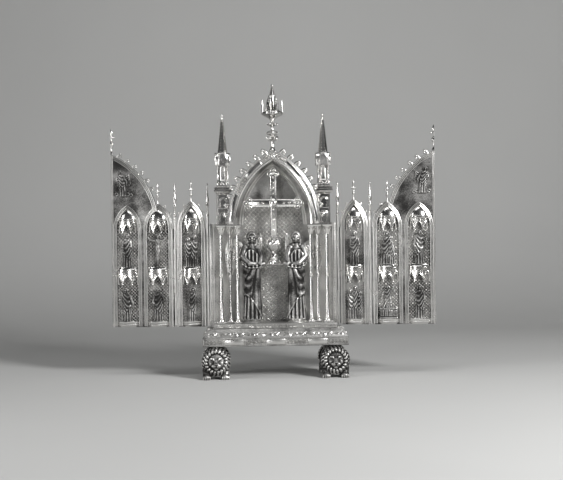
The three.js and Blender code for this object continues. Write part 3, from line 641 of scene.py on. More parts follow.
def stepped(profile, x=0.0, y=0.0):
    """A moulded block: an oblong face is drawn up through half widths, half depths and heights."""
    (wide, deep, z), *rest = profile
    bpy.ops.object.select_all(action="DESELECT")
    bpy.ops.mesh.primitive_plane_add(size=2, location=(x, y, z))
    bpy.ops.transform.resize(value=(wide, deep, 1), center_override=(x, y, z))
    obj = baked(bpy.context.object)
    bpy.ops.object.mode_set(mode="EDIT")
    bpy.ops.mesh.select_all(action="SELECT")
    for next_wide, next_deep, next_z in rest:
        bpy.ops.mesh.extrude_region_move(TRANSFORM_OT_translate={"value": (0, 0, next_z - z)})
        bpy.ops.transform.resize(
            value=(next_wide / wide, next_deep / deep, 1), center_override=(x, y, next_z))
        wide, deep, z = next_wide, next_deep, next_z
    bpy.ops.mesh.select_all(action="SELECT")
    bpy.ops.mesh.normals_make_consistent(inside=False)
    bpy.ops.object.mode_set(mode="OBJECT")
    return obj


def carved(obj, tools):
    """Cuts tools out of a part."""
    for tool in tools:
        apply_modifier(obj, "BOOLEAN", operation="DIFFERENCE", object=tool, solver="EXACT")
        bpy.data.objects.remove(tool)
    return obj


def lancet_outline(half, offset, springing, bottom, steps, middle=0.0):
    return [(middle - half, bottom), (middle + half, bottom),
        *arch(half, offset, springing, steps, middle)]


def band_outline(outer, inner, offset, springing, steps):
    return arch(outer, offset, springing, steps) + arch(inner, offset, springing, steps)[::-1]


def front_surface(y):
    return lambda u, v, out: (u, y - out, v)


def rear_surface(y):
    return lambda u, v, out: (-u, y + out, v)


def side_surface(x):
    sign = 1 if x > 0 else -1
    return lambda u, v, out: (x + sign * out, sign * u, v)


def frame_routes(u0, u1, v0, v1, surface, out):
    corners = [(u0, v0), (u1, v0), (u1, v1), (u0, v1), (u0, v0)]
    return [surface(u, v, out) for u, v in corners]


def mock_writing(u0, u1, v0, v1, surface, wire, seed):
    """Rows of strokes cut as an old inscription looks from afar, without any letter in them."""
    dice = random.Random(seed)
    routes = []
    u = u0
    while u < u1 - 3:
        low, high = v0 + 0.6, v1 - 0.6
        kind = dice.randrange(5)
        lean = dice.uniform(-0.7, 0.7)
        routes.append([surface(u, low, 0.1), surface(u + lean, high, 0.1)])
        if kind in (1, 3):
            routes.append([surface(u + lean, high, 0.1), surface(u + 2.2, (low + high) / 2, 0.1)])
        if kind in (2, 3):
            routes.append([surface(u, low, 0.1), surface(u + 2.4, low + 1.2, 0.1)])
        u += dice.uniform(3.1, 4.6)
    return tone(strands(routes, wire), 0.2)


def make_base(sizes):
    upper_w, upper_d = BASE_HALF_WIDTH - CHAMFER_RUN, BASE_HALF_DEPTH - CHAMFER_RUN
    deep = BASE_HALF_DEPTH - 1
    wide = BASE_HALF_WIDTH
    body = stepped([(wide - 1.5, deep - 1.5, BASE_BOTTOM), (wide, deep, BASE_BOTTOM + 1),
        (wide, deep, BASE_BOTTOM + 2.6), (wide - 1.6, deep - 1.6, BASE_BOTTOM + 3.4),
        (wide - 1.6, deep - 1.6, BAND_TOP - 3.4), (wide, deep, BAND_TOP - 2.6),
        (wide, deep, BAND_TOP - 0.8), (wide - 1.6, deep - 1.6, BAND_TOP),
        (upper_w + 1, upper_d + 1, CHAMFER_TOP - 1),
        (upper_w + 1.2, upper_d + 1.2, CHAMFER_TOP + 1),
        (upper_w, upper_d, CHAMFER_TOP + 2), (upper_w, upper_d, LEDGE_TOP - 1),
        (upper_w - 1, upper_d - 1, LEDGE_TOP)])
    tone(body, 0.34)
    platform = tone(block(-PLATFORM_HALF_WIDTH, PLATFORM_HALF_WIDTH, FRONT + 0.4,
        WALL_FRONT - GAP, LEDGE_TOP - 1, PLATFORM_TOP, 0.6), 0.3)
    parts = [body, platform]
    field = 2 * BASE_HALF_WIDTH / BASE_FIELDS
    low, high = BASE_BOTTOM + 4, BAND_TOP - 4
    edges, wires = [], []
    faces = [(front_surface(-deep + 1.6), BASE_HALF_WIDTH, range(-3, 4)),
        (rear_surface(deep - 1.6), BASE_HALF_WIDTH, range(-3, 4)),
        (side_surface(wide - 1.6), BASE_HALF_DEPTH, range(-1, 2)),
        (side_surface(1.6 - wide), BASE_HALF_DEPTH, range(-1, 2))]
    for surface, half, fields in faces:
        span = field if half == BASE_HALF_WIDTH else 2 * half / 3
        for k in fields:
            u0, u1 = (k - 0.5) * span + 1.5, (k + 0.5) * span - 1.5
            u0, u1 = max(u0, 3 - half), min(u1, half - 3)
            edges.append(frame_routes(u0, u1, low - 1.2, high + 1.2, surface, 0.3))
            if k % 2 == 0:
                a, b = surface(u0 + 1, low, -0.5), surface(u1 - 1, high, 2.2)
                spans = [sorted(pair) for pair in zip(a, b)]
                lay(parts, block(*spans[0], *spans[1], *spans[2], 0.7), 0.12)
            else:
                wires += filigree(u0 + 1, u1 - 1, low, high, surface, 4.4, sizes.wire)
    slope_front = lambda u, v, out: (
        u, -(deep - 1.6 - (deep - upper_d - 2.6) * (v - BAND_TOP) / (CHAMFER_TOP - BAND_TOP)) - out,
        v + out)
    slope_rear = lambda u, v, out: (-u, -slope_front(u, v, out)[1], v + out)
    slope_side = lambda sign: lambda u, v, out: (
        sign * (wide - 1.6 - (wide - upper_w - 2.6) * (v - BAND_TOP) / (CHAMFER_TOP - BAND_TOP)
        + out), sign * u, v + out)
    for surface, half in ((slope_front, wide - 11), (slope_rear, wide - 11),
            (slope_side(1), deep - 11), (slope_side(-1), deep - 11)):
        wires += filigree(-half, half, BAND_TOP + 1.4, CHAMFER_TOP - 1.2, surface, 5.2, sizes.wire)
    for wire in wires:
        lay(parts, wire)
    lay(parts, strands(edges, 0.75, 1))
    for surface, half in ((front_surface(FRONT + 0.4), PLATFORM_HALF_WIDTH),):
        lay(parts, strands([[surface(-half, v, 0.1), surface(half, v, 0.1)]
            for v in (LEDGE_TOP + 1.6, PLATFORM_TOP - 1.2)], 0.9, 2))
        parts.append(mock_writing(3 - half, half - 3, LEDGE_TOP + 2.8, PLATFORM_TOP - 2.4, surface,
            0.75, 3))
    return joined(parts)


def make_lion():
    """A lying lion seen from the front, cast in one."""
    y, face = LION_FRONT, LION_FACE_Z
    parts = [ball(0, y + 19, face, 29.5, 12, 29.5, 24), ball(0, y + 12, face - 1, 22, 9, 21, 24)]
    locks = []
    for radius, count, turn in LION_LOCK_RINGS:
        depth = y + 7.5 + 0.055 * (radius - 20) ** 2
        for k in range(count):
            a = turn + k * TAU / count
            locks.append([((radius + out) * math.cos(a + bend), depth + back,
                face + (radius + out) * math.sin(a + bend), wide)
                for out, bend, back, wide in LION_LOCK])
    parts.append(strands(locks, 3.2, 1))
    for side in (-1, 1):
        parts += [ball(side * 5.6, y + 5.6, face - 9, 6.6, 4.8, 4.6, 14),
            ball(side * 7.6, y + 6.6, face + 2.6, 3.0, 2.4, 2.2, 12),
            ball(side * 12.4, y + 8, face - 3.5, 5.4, 4.4, 6.4, 12),
            ball(side * 17.5, y + 10, face + 17, 5.2, 3.6, 5.6, 12),
            strands([[(side * 3.2, y + 4.4, face - 4, 1), (side * 3.6, y + 4.6, face + 3, 0.9),
            (side * 7.4, y + 5, face + 8, 1.15), (side * 13, y + 7, face + 8.5, 0.9)]], 2.6, 2),
            strands([[(side * 1.5, y + 4, face - 12.2, 1), (side * 6, y + 4.6, face - 14, 1),
            (side * 10.4, y + 7, face - 11, 0.8)]], 1.5, 2)]
        px = side * 23
        parts += [strands([[(side * 19, y + 30, 40, 1.0), (side * 24, y + 22, 22, 0.95),
            (px, y + 16, 9, 0.9)]], 10.5, 3), ball(px, y + 13, 6.4, 10.5, 11, 7, 16)]
        for toe in range(4):
            tx = px + (toe - 1.5) * 5
            parts.append(ball(tx, y + 6.2 + abs(toe - 1.5) * 1.4, 5, 2.9, 4.8, 5.2, 10))
        parts += [ball(side * 17, y + 42, 26, 15, 12, 25, 16),
            ball(side * 25, y + 43, 8, 8, 10, 8, 12)]
    parts += [
        ball(0, y + 5.2, face, 4.2, 3.6, 8, 12), ball(0, y + 4.2, face - 4.6, 7.6, 3.2, 2.8, 14),
        ball(0, y + 7, face - 16, 6, 4.4, 4.0, 12),
        ball(0, y + 34, 42, 25, 20, 34, 20), ball(0, y + 34, 66, 24, 19, 15, 16)]
    flank = [[(side * (24 + out), y + 30 + back, z, 1),
        (side * (29 + out), y + 29 + back, z + 5, 1),
        (side * (27 + out), y + 30 + back, z + 10, 0.7)]
        for side in (-1, 1) for out, back, z in LION_FLANK_CURLS]
    parts.append(strands(flank, 2.6, 2))
    lion = cast(parts, LION_VOXEL, 1)
    only(lion)
    top = BASE_BOTTOM - GAP
    for level, normal in ((top, (0, 0, 1)), (0, (0, 0, -1))):
        bpy.ops.object.mode_set(mode="EDIT")
        bpy.ops.mesh.select_all(action="SELECT")
        bpy.ops.mesh.bisect(plane_co=(0, 0, level), plane_no=normal, use_fill=True,
            clear_outer=True)
        bpy.ops.object.mode_set(mode="OBJECT")
    return note_hollows(lion, 0.55, 6)


def make_column(radius, plinth):
    """A column on a square plinth, with its annulet and a leafy capital under an abacus."""
    foot = PLATFORM_TOP + GAP
    r = radius
    shaft = turned([
        (r + 3.6, foot + 3.6), (r + 3.8, foot + 5), (r + 3.2, foot + 6.4), (r + 1.4, foot + 7),
        (r + 1.2, foot + 8.6), (r + 2.4, foot + 9.4), (r + 2.4, foot + 11), (r + 0.4, foot + 12),
        (r, foot + 13), (r, ANNULET_Z - 4.6), (r + 1.2, ANNULET_Z - 4), (r + 1.4, ANNULET_Z - 2.6),
        (r + 0.6, ANNULET_Z - 1.8), (r + 2, ANNULET_Z - 1), (r + 2, ANNULET_Z + 1),
        (r + 0.6, ANNULET_Z + 1.8), (r + 1.4, ANNULET_Z + 2.6), (r + 1.2, ANNULET_Z + 4),
        (r, ANNULET_Z + 4.6), (r, 350), (r + 1.4, 350.8), (r + 1.6, 352), (r + 0.4, 353),
        (r + 0.6, 356), (r + 2, 362), (r + 3.6, COLUMN_TOP - 6)], 20)
    parts = [tone(shaft, 0.08)]
    lay(parts, stepped([(plinth, plinth, foot), (plinth, plinth, foot + 2.6),
        (plinth - 1, plinth - 1, foot + 3.6)]), 0.25)
    lay(parts, stepped([
        (plinth - 2, plinth - 2, COLUMN_TOP - 6), (plinth - 0.4, plinth - 0.4, COLUMN_TOP - 4.6),
        (plinth, plinth, COLUMN_TOP - 3), (plinth, plinth, COLUMN_TOP)]), 0.2)
    leaf = [(r + 0.6, 0, 353.4, 0.8), (r + 1.6, 0, 359, 1.2), (r + 4.2, 0, 364.6, 1.3),
        (r + 5.4, 0, 363.4, 0.9)]
    routes = []
    for k in range(8):
        a = (k + 0.5) * TAU / 8
        c, s = math.cos(a), math.sin(a)
        routes.append([(x * c - y * s, x * s + y * c, z, w) for x, y, z, w in leaf])
    lay(parts, strands(routes, 1.25, 1))
    return joined(parts)


def make_wall(sizes):
    """The back wall with its diapered ground, framed strips and the rib of the inner arch."""
    slab = plank([(-WALL_HALF_WIDTH, LEDGE_TOP + GAP), (WALL_HALF_WIDTH, LEDGE_TOP + GAP),
        (WALL_HALF_WIDTH, WALL_SHOULDER), (VAULT_OUTER, WALL_SHOULDER),
        *arch(VAULT_OUTER, ARCH_OFFSET, SPRINGING, 20)[1:-1],
        (-VAULT_OUTER, WALL_SHOULDER), (-WALL_HALF_WIDTH, WALL_SHOULDER)], WALL_FRONT, WALL_BACK)
    parts = [tone(slab, 0.3)]

    def in_niche(x, z):
        return abs(x) < arch_width(RIB_INNER - 1, RIB_OFFSET, SPRINGING, z) and z < 436

    def in_strip(x, z):
        return 90 < abs(x) < WALL_HALF_WIDTH - 13

    for wire in lozenges(in_niche, -RIB_INNER, RIB_INNER, PLATFORM_TOP + 2, 437, WALL_FRONT,
            sizes.lozenge * 1.3, 1.0):
        lay(parts, wire)
    for side in (-1, 1):
        x0, x1 = sorted((side * 90, side * (WALL_HALF_WIDTH - 13)))
        for wire in lozenges(in_strip, x0, x1, PLATFORM_TOP + 2, SPRINGING - 3, WALL_FRONT,
                sizes.lozenge * 0.5, 0.75):
            lay(parts, wire)
        outer, inner = WALL_HALF_WIDTH, WALL_HALF_WIDTH - WALL_FRAME
        x0, x1 = sorted((side * outer, side * inner))
        lay(parts, block(x0, x1, WALL_FRONT - 1.2, WALL_BACK + 1.2, PLATFORM_TOP + 2,
            WALL_SHOULDER, 0.5), 0.25)
        for x in (side * (outer - 1.2), side * (inner + 1.2)):
            lay(parts, strands([[(x, WALL_FRONT - 1.2, PLATFORM_TOP + 2),
                (x, WALL_FRONT - 1.2, WALL_SHOULDER)], [(x, WALL_BACK + 1.2, PLATFORM_TOP + 2),
                (x, WALL_BACK + 1.2, WALL_SHOULDER)]], 1.1, 2))
        middle = side * (outer + inner) / 2
        places = [(middle, WALL_FRONT - 1.4, PLATFORM_TOP + 6 + k * 6.5) for k in range(37)]
        lay(parts, grain_cluster(places, 1.5))
    rib = plank(band_outline(RIB_OUTER, RIB_INNER, RIB_OFFSET, SPRINGING, 20),
        WALL_FRONT - RIB_PROUD, WALL_FRONT + 1, 0.8)
    lay(parts, rib, 0.12)
    for half in (RIB_OUTER - 1.4, RIB_INNER + 1.4):
        lay(parts, bead_line(arch(half, RIB_OFFSET, SPRINGING, 24),
            WALL_FRONT - RIB_PROUD, 1.3, 2))
    back = rear_surface(WALL_BACK)
    ribs = [frame_routes(-WALL_HALF_WIDTH + 17, WALL_HALF_WIDTH - 17, PLATFORM_TOP + 6,
        WALL_SHOULDER - 8, back, 0.3),
        [back(0, PLATFORM_TOP + 6, 0.3), back(0, WALL_SHOULDER - 8, 0.3)]]
    lay(parts, strands(ribs, 1.5, 2))
    lay(parts, bead_line(arch(VAULT_OUTER - 8, ARCH_OFFSET, SPRINGING + 12, 20), WALL_BACK,
        1.5, 2))
    for level in (0, 2):
        for side in (-1, 1):
            lay(parts, knuckle(level, side * (WALL_HALF_WIDTH - HINGE_X - 1),
                side * HINGE_X, HINGE_Y), 0.15)
    return joined(parts)


def knuckle(level, reach, x, y):
    """A hinge knuckle with its tab."""
    low, high = KNUCKLE_LEVELS[level] + 0.2, KNUCKLE_LEVELS[level + 1] - 0.2
    r = KNUCKLE_RADIUS
    rings = [(r - 0.8, low), (r, low + 0.8), (r, high - 0.8), (r - 0.8, high)]
    barrel = turned(rings, 14, x, y)
    x0, x1 = sorted((x, x + reach))
    tab = block(x0, x1, y - 2, y + 2, low, min(high, WING_SPRINGING))
    return joined([barrel, tab])


def crocket_row(places, size, y):
    return repeated(unit_crocket(), [on_edge(at, size, y, side) for at, side in places])


def make_gable(sizes):
    """The crocketed gable with its panelled band, and the vault behind it."""
    steps = 28
    foot = SPRINGING
    band = plank(band_outline(GABLE_OUTER - 0.6, GABLE_INNER + 0.6, ARCH_OFFSET, foot, steps),
        FRONT + 1.6, GABLE_BACK + 1, 0.5)
    vault = plank(band_outline(VAULT_OUTER, GABLE_INNER, ARCH_OFFSET, foot, steps),
        GABLE_BACK, WALL_FRONT - GAP, 0.4)
    parts = [tone(band, 0.42), tone(vault, 0.25)]
    face = FRONT + 1.6
    beads = [(GABLE_OUTER - 1.2, 1.5), (GABLE_OUTER - 4.2, 0.8), (GABLE_INNER + 1.2, 1.5),
        (GABLE_INNER + 4.4, 0.8)]
    for half, radius in beads:
        lay(parts, bead_line(arch(half, ARCH_OFFSET, foot, steps), face, radius, 2))
    for half, y in ((GABLE_INNER + 0.5, -8), (GABLE_INNER + 0.5, 6), (GABLE_INNER + 0.5, 20)):
        lay(parts, bead_line(arch(half, ARCH_OFFSET, foot, steps), y, 1.6, 1))
    inner, outer = GABLE_INNER + 5.4, GABLE_OUTER - 5.2
    middle = (inner + outer) / 2
    stops = (0.0, 0.36, 0.585, 0.83, 1.0)
    sweep = math.acos(ARCH_OFFSET / (middle + ARCH_OFFSET))
    length = sweep * (middle + ARCH_OFFSET)
    for side in (-1, 1):
        def over(u, v, out, side=side):
            half = middle + v
            x, z, _, _ = on_arch(half, ARCH_OFFSET, foot, u / length * sweep / math.acos(
                ARCH_OFFSET / (half + ARCH_OFFSET)), side)
            return (x, face - out, z)
        for k in range(4):
            a, b = stops[k] * length + 1.2, stops[k + 1] * length - 1.2
            if k % 2 == 1:
                for wire in filigree(a, b, inner - middle, outer - middle, over, 4.6, sizes.wire):
                    lay(parts, wire)
            else:
                ends = [a + (b - a) * s / 10 for s in range(11)]
                outline = [over(u, inner - middle, 0) for u in ends]
                outline += [over(u, outer - middle, 0) for u in reversed(ends)]
                plate = plank([(x, z) for x, _, z in outline], face - 1.5, face + 0.5, 0.5)
                lay(parts, plate, 0.05)
            lay(parts, strands([[over(b + 1.2, inner - middle - 1, 0),
                over(b + 1.2, outer - middle + 1, 0)]], 1.0, 1))
    ridge = plank([(-9, 536), (9, 536), (6.5, 545), (7, 548), (5.4, 550), (6, RIDGE_TOP),
        (-6, RIDGE_TOP), (-5.4, 550), (-7, 548), (-6.5, 545)], GABLE_BACK, WALL_FRONT - GAP, 0.5)
    lay(parts, ridge, 0.1)
    boss = repeated(ball(0, 0, 0, 5.2, 2.6, 6.4, 14), [Matrix.Translation((0, face - 0.6, 540))])
    lay(parts, boss)
    shares = (0.12, 0.22, 0.32, 0.42, 0.52, 0.62, 0.72, 0.82, 0.92)
    for size, chosen in ((11, shares[:3]), (13, shares[3:])):
        places = [(on_arch(GABLE_OUTER - 1, ARCH_OFFSET, foot, s, side), side)
            for s in chosen for side in (-1, 1)]
        lay(parts, crocket_row(places, size, CROCKET_Y))
    tiles = []
    for share in np.linspace(0.1, 0.94, 15):
        for side in (-1, 1):
            x, z, _, _ = on_arch(VAULT_OUTER, ARCH_OFFSET, foot, share, side)
            tiles.append([(x, GABLE_BACK + 1, z), (x, WALL_FRONT - 2, z)])
    lay(parts, strands(tiles, 0.9, 1))
    return joined(parts)


def make_tower():
    """A corner tower, from its block up to the finial of its spire."""
    low = SPRINGING + GAP
    parts = [tone(stepped([
        (16, 16, low), (16, 16, low + 2), (14.5, 14.5, low + 3.5), (14.5, 14.5, 449),
        (16.5, 16.5, 450.5), (16.5, 16.5, 452), (18, 18, 453.5), (20.5, 20.5, 456),
        (21.5, 21.5, 457), (21.5, 21.5, 460), (20, 20, 461), (20, 20, 463), (21.3, 21.3, 464),
        (21.3, 21.3, 466), (16, 16, 467.5), (15, 15, 468.5), (15, 15, 473)]), 0.22)]
    merlons = []
    quarters = [Matrix.Rotation(k * TAU / 4, 4, "Z") for k in range(4)]
    for turn in quarters:
        for j in range(4):
            merlons.append(turn @ Matrix.Translation((-11.2 + j * 7.5, -14, 475.5)))
    lay(parts, repeated(block(-2.3, 2.3, -1.2, 1.2, -3.4, 3.4, 0.3), merlons), 0.1)
    arches, posts = [], []
    for turn in quarters:
        for level in (low + 8, low + 42):
            for half, out in ((9.2, 14.6), (6.4, 14.7)):
                route = [(-half, level)] + [(half * -math.cos(a), level + 16 + half * math.sin(a))
                    for a in np.linspace(0, math.pi, 11)] + [(half, level)]
                arches.append([tuple(turn @ Vector((x, -out, z))) for x, z in route])
            arches.append([tuple(turn @ Vector((x, -14.6, level - 2))) for x in (-12, 12)])
        for x in (-12.6, 12.6):
            posts.append([tuple(turn @ Vector((x, -14.4, z))) for z in (low + 4, 448)])
    lay(parts, strands(arches, 1.15, 2))
    lay(parts, strands(posts, 1.4, 2))
    shaft = turned([(12.4, 472), (12.4, 477), (11, 478.5), (11, 526), (12, 528), (12, 532)], 8,
        turn=TAU / 16)
    lay(parts, shaft, 0.35)
    corner = turned([(2.6, 472), (2.6, 479), (1.5, 480.5), (1.5, 521), (2.4, 522.5), (2.4, 525),
        (1.4, 526), (2.2, 531), (0.5, 548)], 10)
    spots = [Matrix.Translation((sx * 12, sy * 12, 0)) for sx in (-1, 1) for sy in (-1, 1)]
    lay(parts, repeated(corner, spots))
    window = lancet_outline(4.6, 4, 512, 484, 8)
    lights = []
    for turn in quarters:
        lights.append([tuple(turn @ Vector((x, -11.2, z))) for x, z in window + window[:1]])
    lay(parts, strands(lights, 1.0, 1))
    for turn in (0, 1):
        gablet = plank(lancet_outline(10.6, 10, 534, 520, 10), -18.2, 18.2, 0.4)
        gablet = carved(gablet, [plank(lancet_outline(7.2, 10, 532, 519, 10), y0, y1)
            for y0, y1 in ((-20, -15.5), (15.5, 20))])
        rims = [bead_line(arch(10.6, 10, 534, 10), y, 1.2, 2) for y in (-18, 18)]
        whole = joined([tone(gablet, 0.3), *[tone(rim, 0.0) for rim in rims]])
        places = [(on_arch(10.6, 10, 534, s, side), side) for s in (0.4, 0.8) for side in (-1, 1)]
        for y in (-17.6, 17.6):
            whole = joined([whole, tone(crocket_row(places, 3.4, y), 0.0)])
        whole.data.transform(Matrix.Rotation(turn * TAU / 4, 4, "Z"))
        parts.append(whole)
    spire = turned([(12.5, 549), (12.3, 551), (3.2, 632)], 8, turn=TAU / 16)
    lay(parts, spire, 0.12)
    beads = []
    for k in range(8):
        a = (k + 0.5) * TAU / 8
        for j in range(11):
            share = (j + 0.6) / 11.4
            r = 12.4 + (3.2 - 12.4) * share
            beads.append((r * math.cos(a), r * math.sin(a), 551 + share * 81))
    lay(parts, grain_cluster(beads, 1.35))
    tip = turned([(3.2, 631), (4.2, 633), (3.2, 635), (1.6, 636), (1.4, 638), (3.4, 640),
        (3.4, 641.4), (1.4, 643), (1.8, 645), (0.5, 648)], 12)
    lay(parts, tip)
    return joined(parts)


def ring_of(master, count, radius, z, turn=0.0):
    spots = []
    for k in range(count):
        around = Matrix.Rotation(turn + k * TAU / count, 4, "Z")
        spots.append(around @ Matrix.Translation((radius, 0, z)))
    return repeated(master, spots)


def make_finial():
    """The central finial: a knobbed stem that carries a six-sided lantern with pinnacles."""
    low = RIDGE_TOP + GAP
    stem = turned([(9, low), (9, low + 2), (6.5, 560), (4.5, 568), (4, 578), (4.6, 581), (9, 583),
        (12, 585.6), (12, 588), (9, 590), (5, 592), (6, 593.5), (12, 596), (13.4, 600), (12, 604),
        (5, 606), (3.8, 608), (3.4, 613), (4.6, 616), (9, 618.4), (12.4, 621), (12.4, 623),
        (9, 625), (4, 627), (4, 630), (6, 632), (8, 635), (14, 639), (20, 641.5), (25, 644.5),
        (27, 647), (27, 650), (25.5, 652), (10.2, 653), (10.2, 656), (9, 658), (9, 688),
        (10.4, 689.5), (10.4, 691.5), (6.4, 693), (1.8, 713), (1.4, 715), (2.8, 716.6),
        (2.8, 718), (1, TOP)], 24)
    parts = [tone(stem, 0.15)]
    leaf = strands([[(0, 0, -5, 0.8), (2.4, 0, -1, 1.2), (3, 0, 2.6, 1.2), (1, 0, 5, 0.8)]], 2.0, 1)
    lay(parts, ring_of(leaf, 10, 10.2, 587))
    lay(parts, ring_of(ball(0, 0, 0, 2.6, 2.6, 3.4, 8), 12, 12.4, 600))
    lay(parts, ring_of(ball(0, 0, 0, 2.2, 2.2, 2.2, 8), 14, 11.6, 622))
    lay(parts, ring_of(ball(0, 0, 0, 1.9, 1.9, 2.4, 8), 24, 25.4, 648.6))
    pinnacle = turned([(2.9, 650), (2.9, 654), (2, 655), (2, 665), (3.2, 666.5), (3.2, 668.5),
        (2.2, 669.5), (0.5, 682)], 8)
    lay(parts, ring_of(pinnacle, 6, 24.3, 0))
    window = lancet_outline(3.4, 3, 674, 658, 6)
    lights = []
    for k in range(6):
        turn = Matrix.Rotation((k + 0.5) * TAU / 6, 4, "Z")
        lights.append([tuple(turn @ Vector((x, -9.2, z))) for x, z in window + window[:1]])
        foot = turn @ Vector((0, -22, 652))
        head = turn @ Vector((0, -10, 668))
        lights.append([tuple(foot), tuple((foot + head) / 2 + Vector((0, 0, -3))), tuple(head)])
    lay(parts, strands(lights, 0.95, 1))
    lay(parts, ring_of(ball(0, 0, 0, 1.6, 1.6, 2.2, 8), 6, 9.6, 684))
    beads = [(r * math.cos(a), r * math.sin(a), z)
        for r, z in ((5.6, 697), (4.4, 702), (3.2, 707)) for a in np.arange(6) * TAU / 6]
    lay(parts, grain_cluster(beads, 1.2))
    whole = joined(parts)
    whole.data.transform(Matrix.Translation((0, FINIAL_Y, 0)))
    return whole


def soft_step(value):
    value = np.clip(value, 0, 1)
    return value * value * (3 - 2 * value)


def cloth_body(levels, sway, relief, y=0.0, rows=46, around=56):
    """A closed robe through levels of height, half width and half depth.

    sway gives the middle at a height and relief how far the cloth stands out there. The angle phi
    is 0 at the front and grows towards +X.
    """
    heights, halves, depths = (np.array(column) for column in zip(*levels))
    z = np.linspace(heights[0], heights[-1], rows)[:, None]
    phi = (np.arange(around) / around * TAU)[None, :]
    out = relief(phi, z)
    wide = np.interp(z, heights, halves) + out
    deep = np.interp(z, heights, depths) + out
    grid = np.stack([sway(z) + wide * np.sin(phi), y - deep * np.cos(phi),
        np.broadcast_to(z, wide.shape)], axis=-1).reshape(-1, 3)
    faces = [(r * around + k, r * around + (k + 1) % around,
        (r + 1) * around + (k + 1) % around, (r + 1) * around + k)
        for r in range(rows - 1) for k in range(around)]
    faces += [tuple(range(around))[::-1], tuple((rows - 1) * around + k for k in range(around))]
    return mesh_object(grid, faces, "robe")


def fold_pattern(height, seed, flutes, strength=1.0):
    """Fluted folds below and a mantle with hanging folds above them."""
    dice = random.Random(seed)
    turn, _, c = (dice.uniform(0, TAU) for _ in range(3))
    slant = dice.choice((-1, 1)) * 0.13

    def relief(phi, z):
        s = z / height
        x = np.sin(phi)
        low = soft_step((0.6 - s) / 0.4)
        flute = (np.abs(np.cos(phi * flutes / 2 + turn + 0.6 * s)) ** 0.9 - 0.5) * 0.032 * low
        hem = 0.31 + slant * x
        over = soft_step((s - hem) / 0.03) * soft_step((0.86 - s) / 0.06)
        swag = np.cos(TAU * (s * 7 - 0.9 * x * x + slant * 6 * x) + c)
        edge = np.exp(-((s - hem - 0.012) / 0.012) ** 2)
        folds = over * (0.016 + 0.012 * swag) + 0.01 * edge
        return (flute * (1 - 0.75 * over) + folds) * height * strength

    return relief


def figure(height, x=0.0, z=0.0, lean=0.0, wide=1.0, hands=(), head=0.0, seed=1, bare=False,
        flutes=9, deep=4.9):
    """A robed figure in relief, as parts to be cast together. Hands are shares of the height."""
    y = RELIEF_BACK - deep - 0.1

    def sway(level):
        share = (level - z) / height
        return x + lean * height * share * share

    rows = [(0, 0.135, 0.8), (0.06, 0.125, 0.78), (0.3, 0.108, 0.72), (0.5, 0.105, 0.76),
        (0.62, 0.1, 0.8), (0.74, 0.118, 0.82), (0.8, 0.1, 0.72), (0.84, 0.045, 0.45),
        (0.87, 0.035, 0.4)]
    if bare:
        rows = [(0, 0.04, 0.5), (0.06, 0.05, 0.55), (0.3, 0.075, 0.6), (0.44, 0.11, 0.75),
            (0.54, 0.1, 0.75), (0.64, 0.085, 0.7), (0.76, 0.125, 0.8), (0.81, 0.09, 0.7),
            (0.85, 0.04, 0.45), (0.87, 0.035, 0.4)]
    levels = [(z + share * height, half * wide * height, thick * deep)
        for share, half, thick in rows]
    pattern = fold_pattern(height, seed, flutes, 0.35 if bare else 1.0)
    parts = [cloth_body(levels, sway, lambda phi, level: pattern(phi, level - z), y)]
    top = z + 0.915 * height
    hx = float(sway(z + 0.9 * height)) + head
    h = height
    parts += [ball(hx, y - 0.6, top, 0.052 * h, 4.2, 0.07 * h, 14),
        ball(hx, y + 0.4, top + 0.018 * h, 0.064 * h, 4.2, 0.066 * h, 14),
        ball(hx, y - 4.6, top - 0.004 * h, 0.011 * h, 1.2, 0.022 * h, 8),
        strands([[(hx - 0.03 * h, y - 4.0, top + 0.014 * h),
        (hx + 0.03 * h, y - 4.0, top + 0.014 * h)]], 0.011 * h, 1),
        ball(hx, y - 3.6, top - 0.045 * h, 0.02 * h, 1.4, 0.018 * h, 8)]
    for k in range(9):
        a = math.pi * (0.02 + 0.96 * k / 8)
        parts.append(ball(hx + 0.062 * h * math.cos(a), y - 1.6,
            top - 0.004 * h + 0.068 * h * math.sin(a), 0.021 * h, 2.2, 0.022 * h, 8))
    for k, (across, up) in enumerate(hands):
        side = -1 if k == 0 else 1
        shoulder = Vector((float(sway(z + 0.76 * h)) + side * 0.1 * wide * h, y - 0.6,
            z + 0.77 * h))
        hand = Vector((float(sway(z + 0.6 * h)) + across * h, y - 2.6, z + up * h))
        reach = (hand - shoulder).length
        drop = 0.11 * h if up < 0.74 else 0.01 * h
        elbow = (shoulder + hand) / 2 + Vector((side * 0.05 * h, 0, -drop * max(
            0.2, 1 - reach / h)))
        sleeve = [(*shoulder, 1.05), (*elbow, 1.1), (*(elbow * 0.35 + hand * 0.65), 0.85),
            (*hand, 0.62)]
        thick = (0.03 if bare else 0.042) * h
        parts.append(strands([sleeve], thick, 2))
        parts.append(ball(*hand, 0.026 * h, 1.9, 0.03 * h, 8))
        if not bare and up < 0.74:
            cuff = elbow * 0.45 + hand * 0.55
            parts.append(strands([[(*cuff, 1.0), (cuff.x, cuff.y + 0.8, cuff.z - 0.07 * h, 0.9),
                (cuff.x, cuff.y + 1.4, cuff.z - 0.14 * h, 0.3)]], 0.032 * h, 1))
    return parts


def relief_bar(x0, x1, z0, z1, depth):
    return block(x0, x1, RELIEF_BACK - depth, RELIEF_BACK, z0, z1, 0.5)


def rod(x0, z0, x1, z1, depth, radius=1.2):
    return strands([[(x0, RELIEF_BACK - depth, z0), (x1, RELIEF_BACK - depth, z1)]], radius, 2)


def mound(x0, x1, seed):
    """The low ground that a figure stands on."""
    dice = random.Random(seed)
    return [ball(x0 + (x1 - x0) * k / 4, RELIEF_BACK - 4.6, 0.6 + dice.uniform(0, 0.8),
        (x1 - x0) / 6, 4.4, 2.4, 10) for k in range(5)]


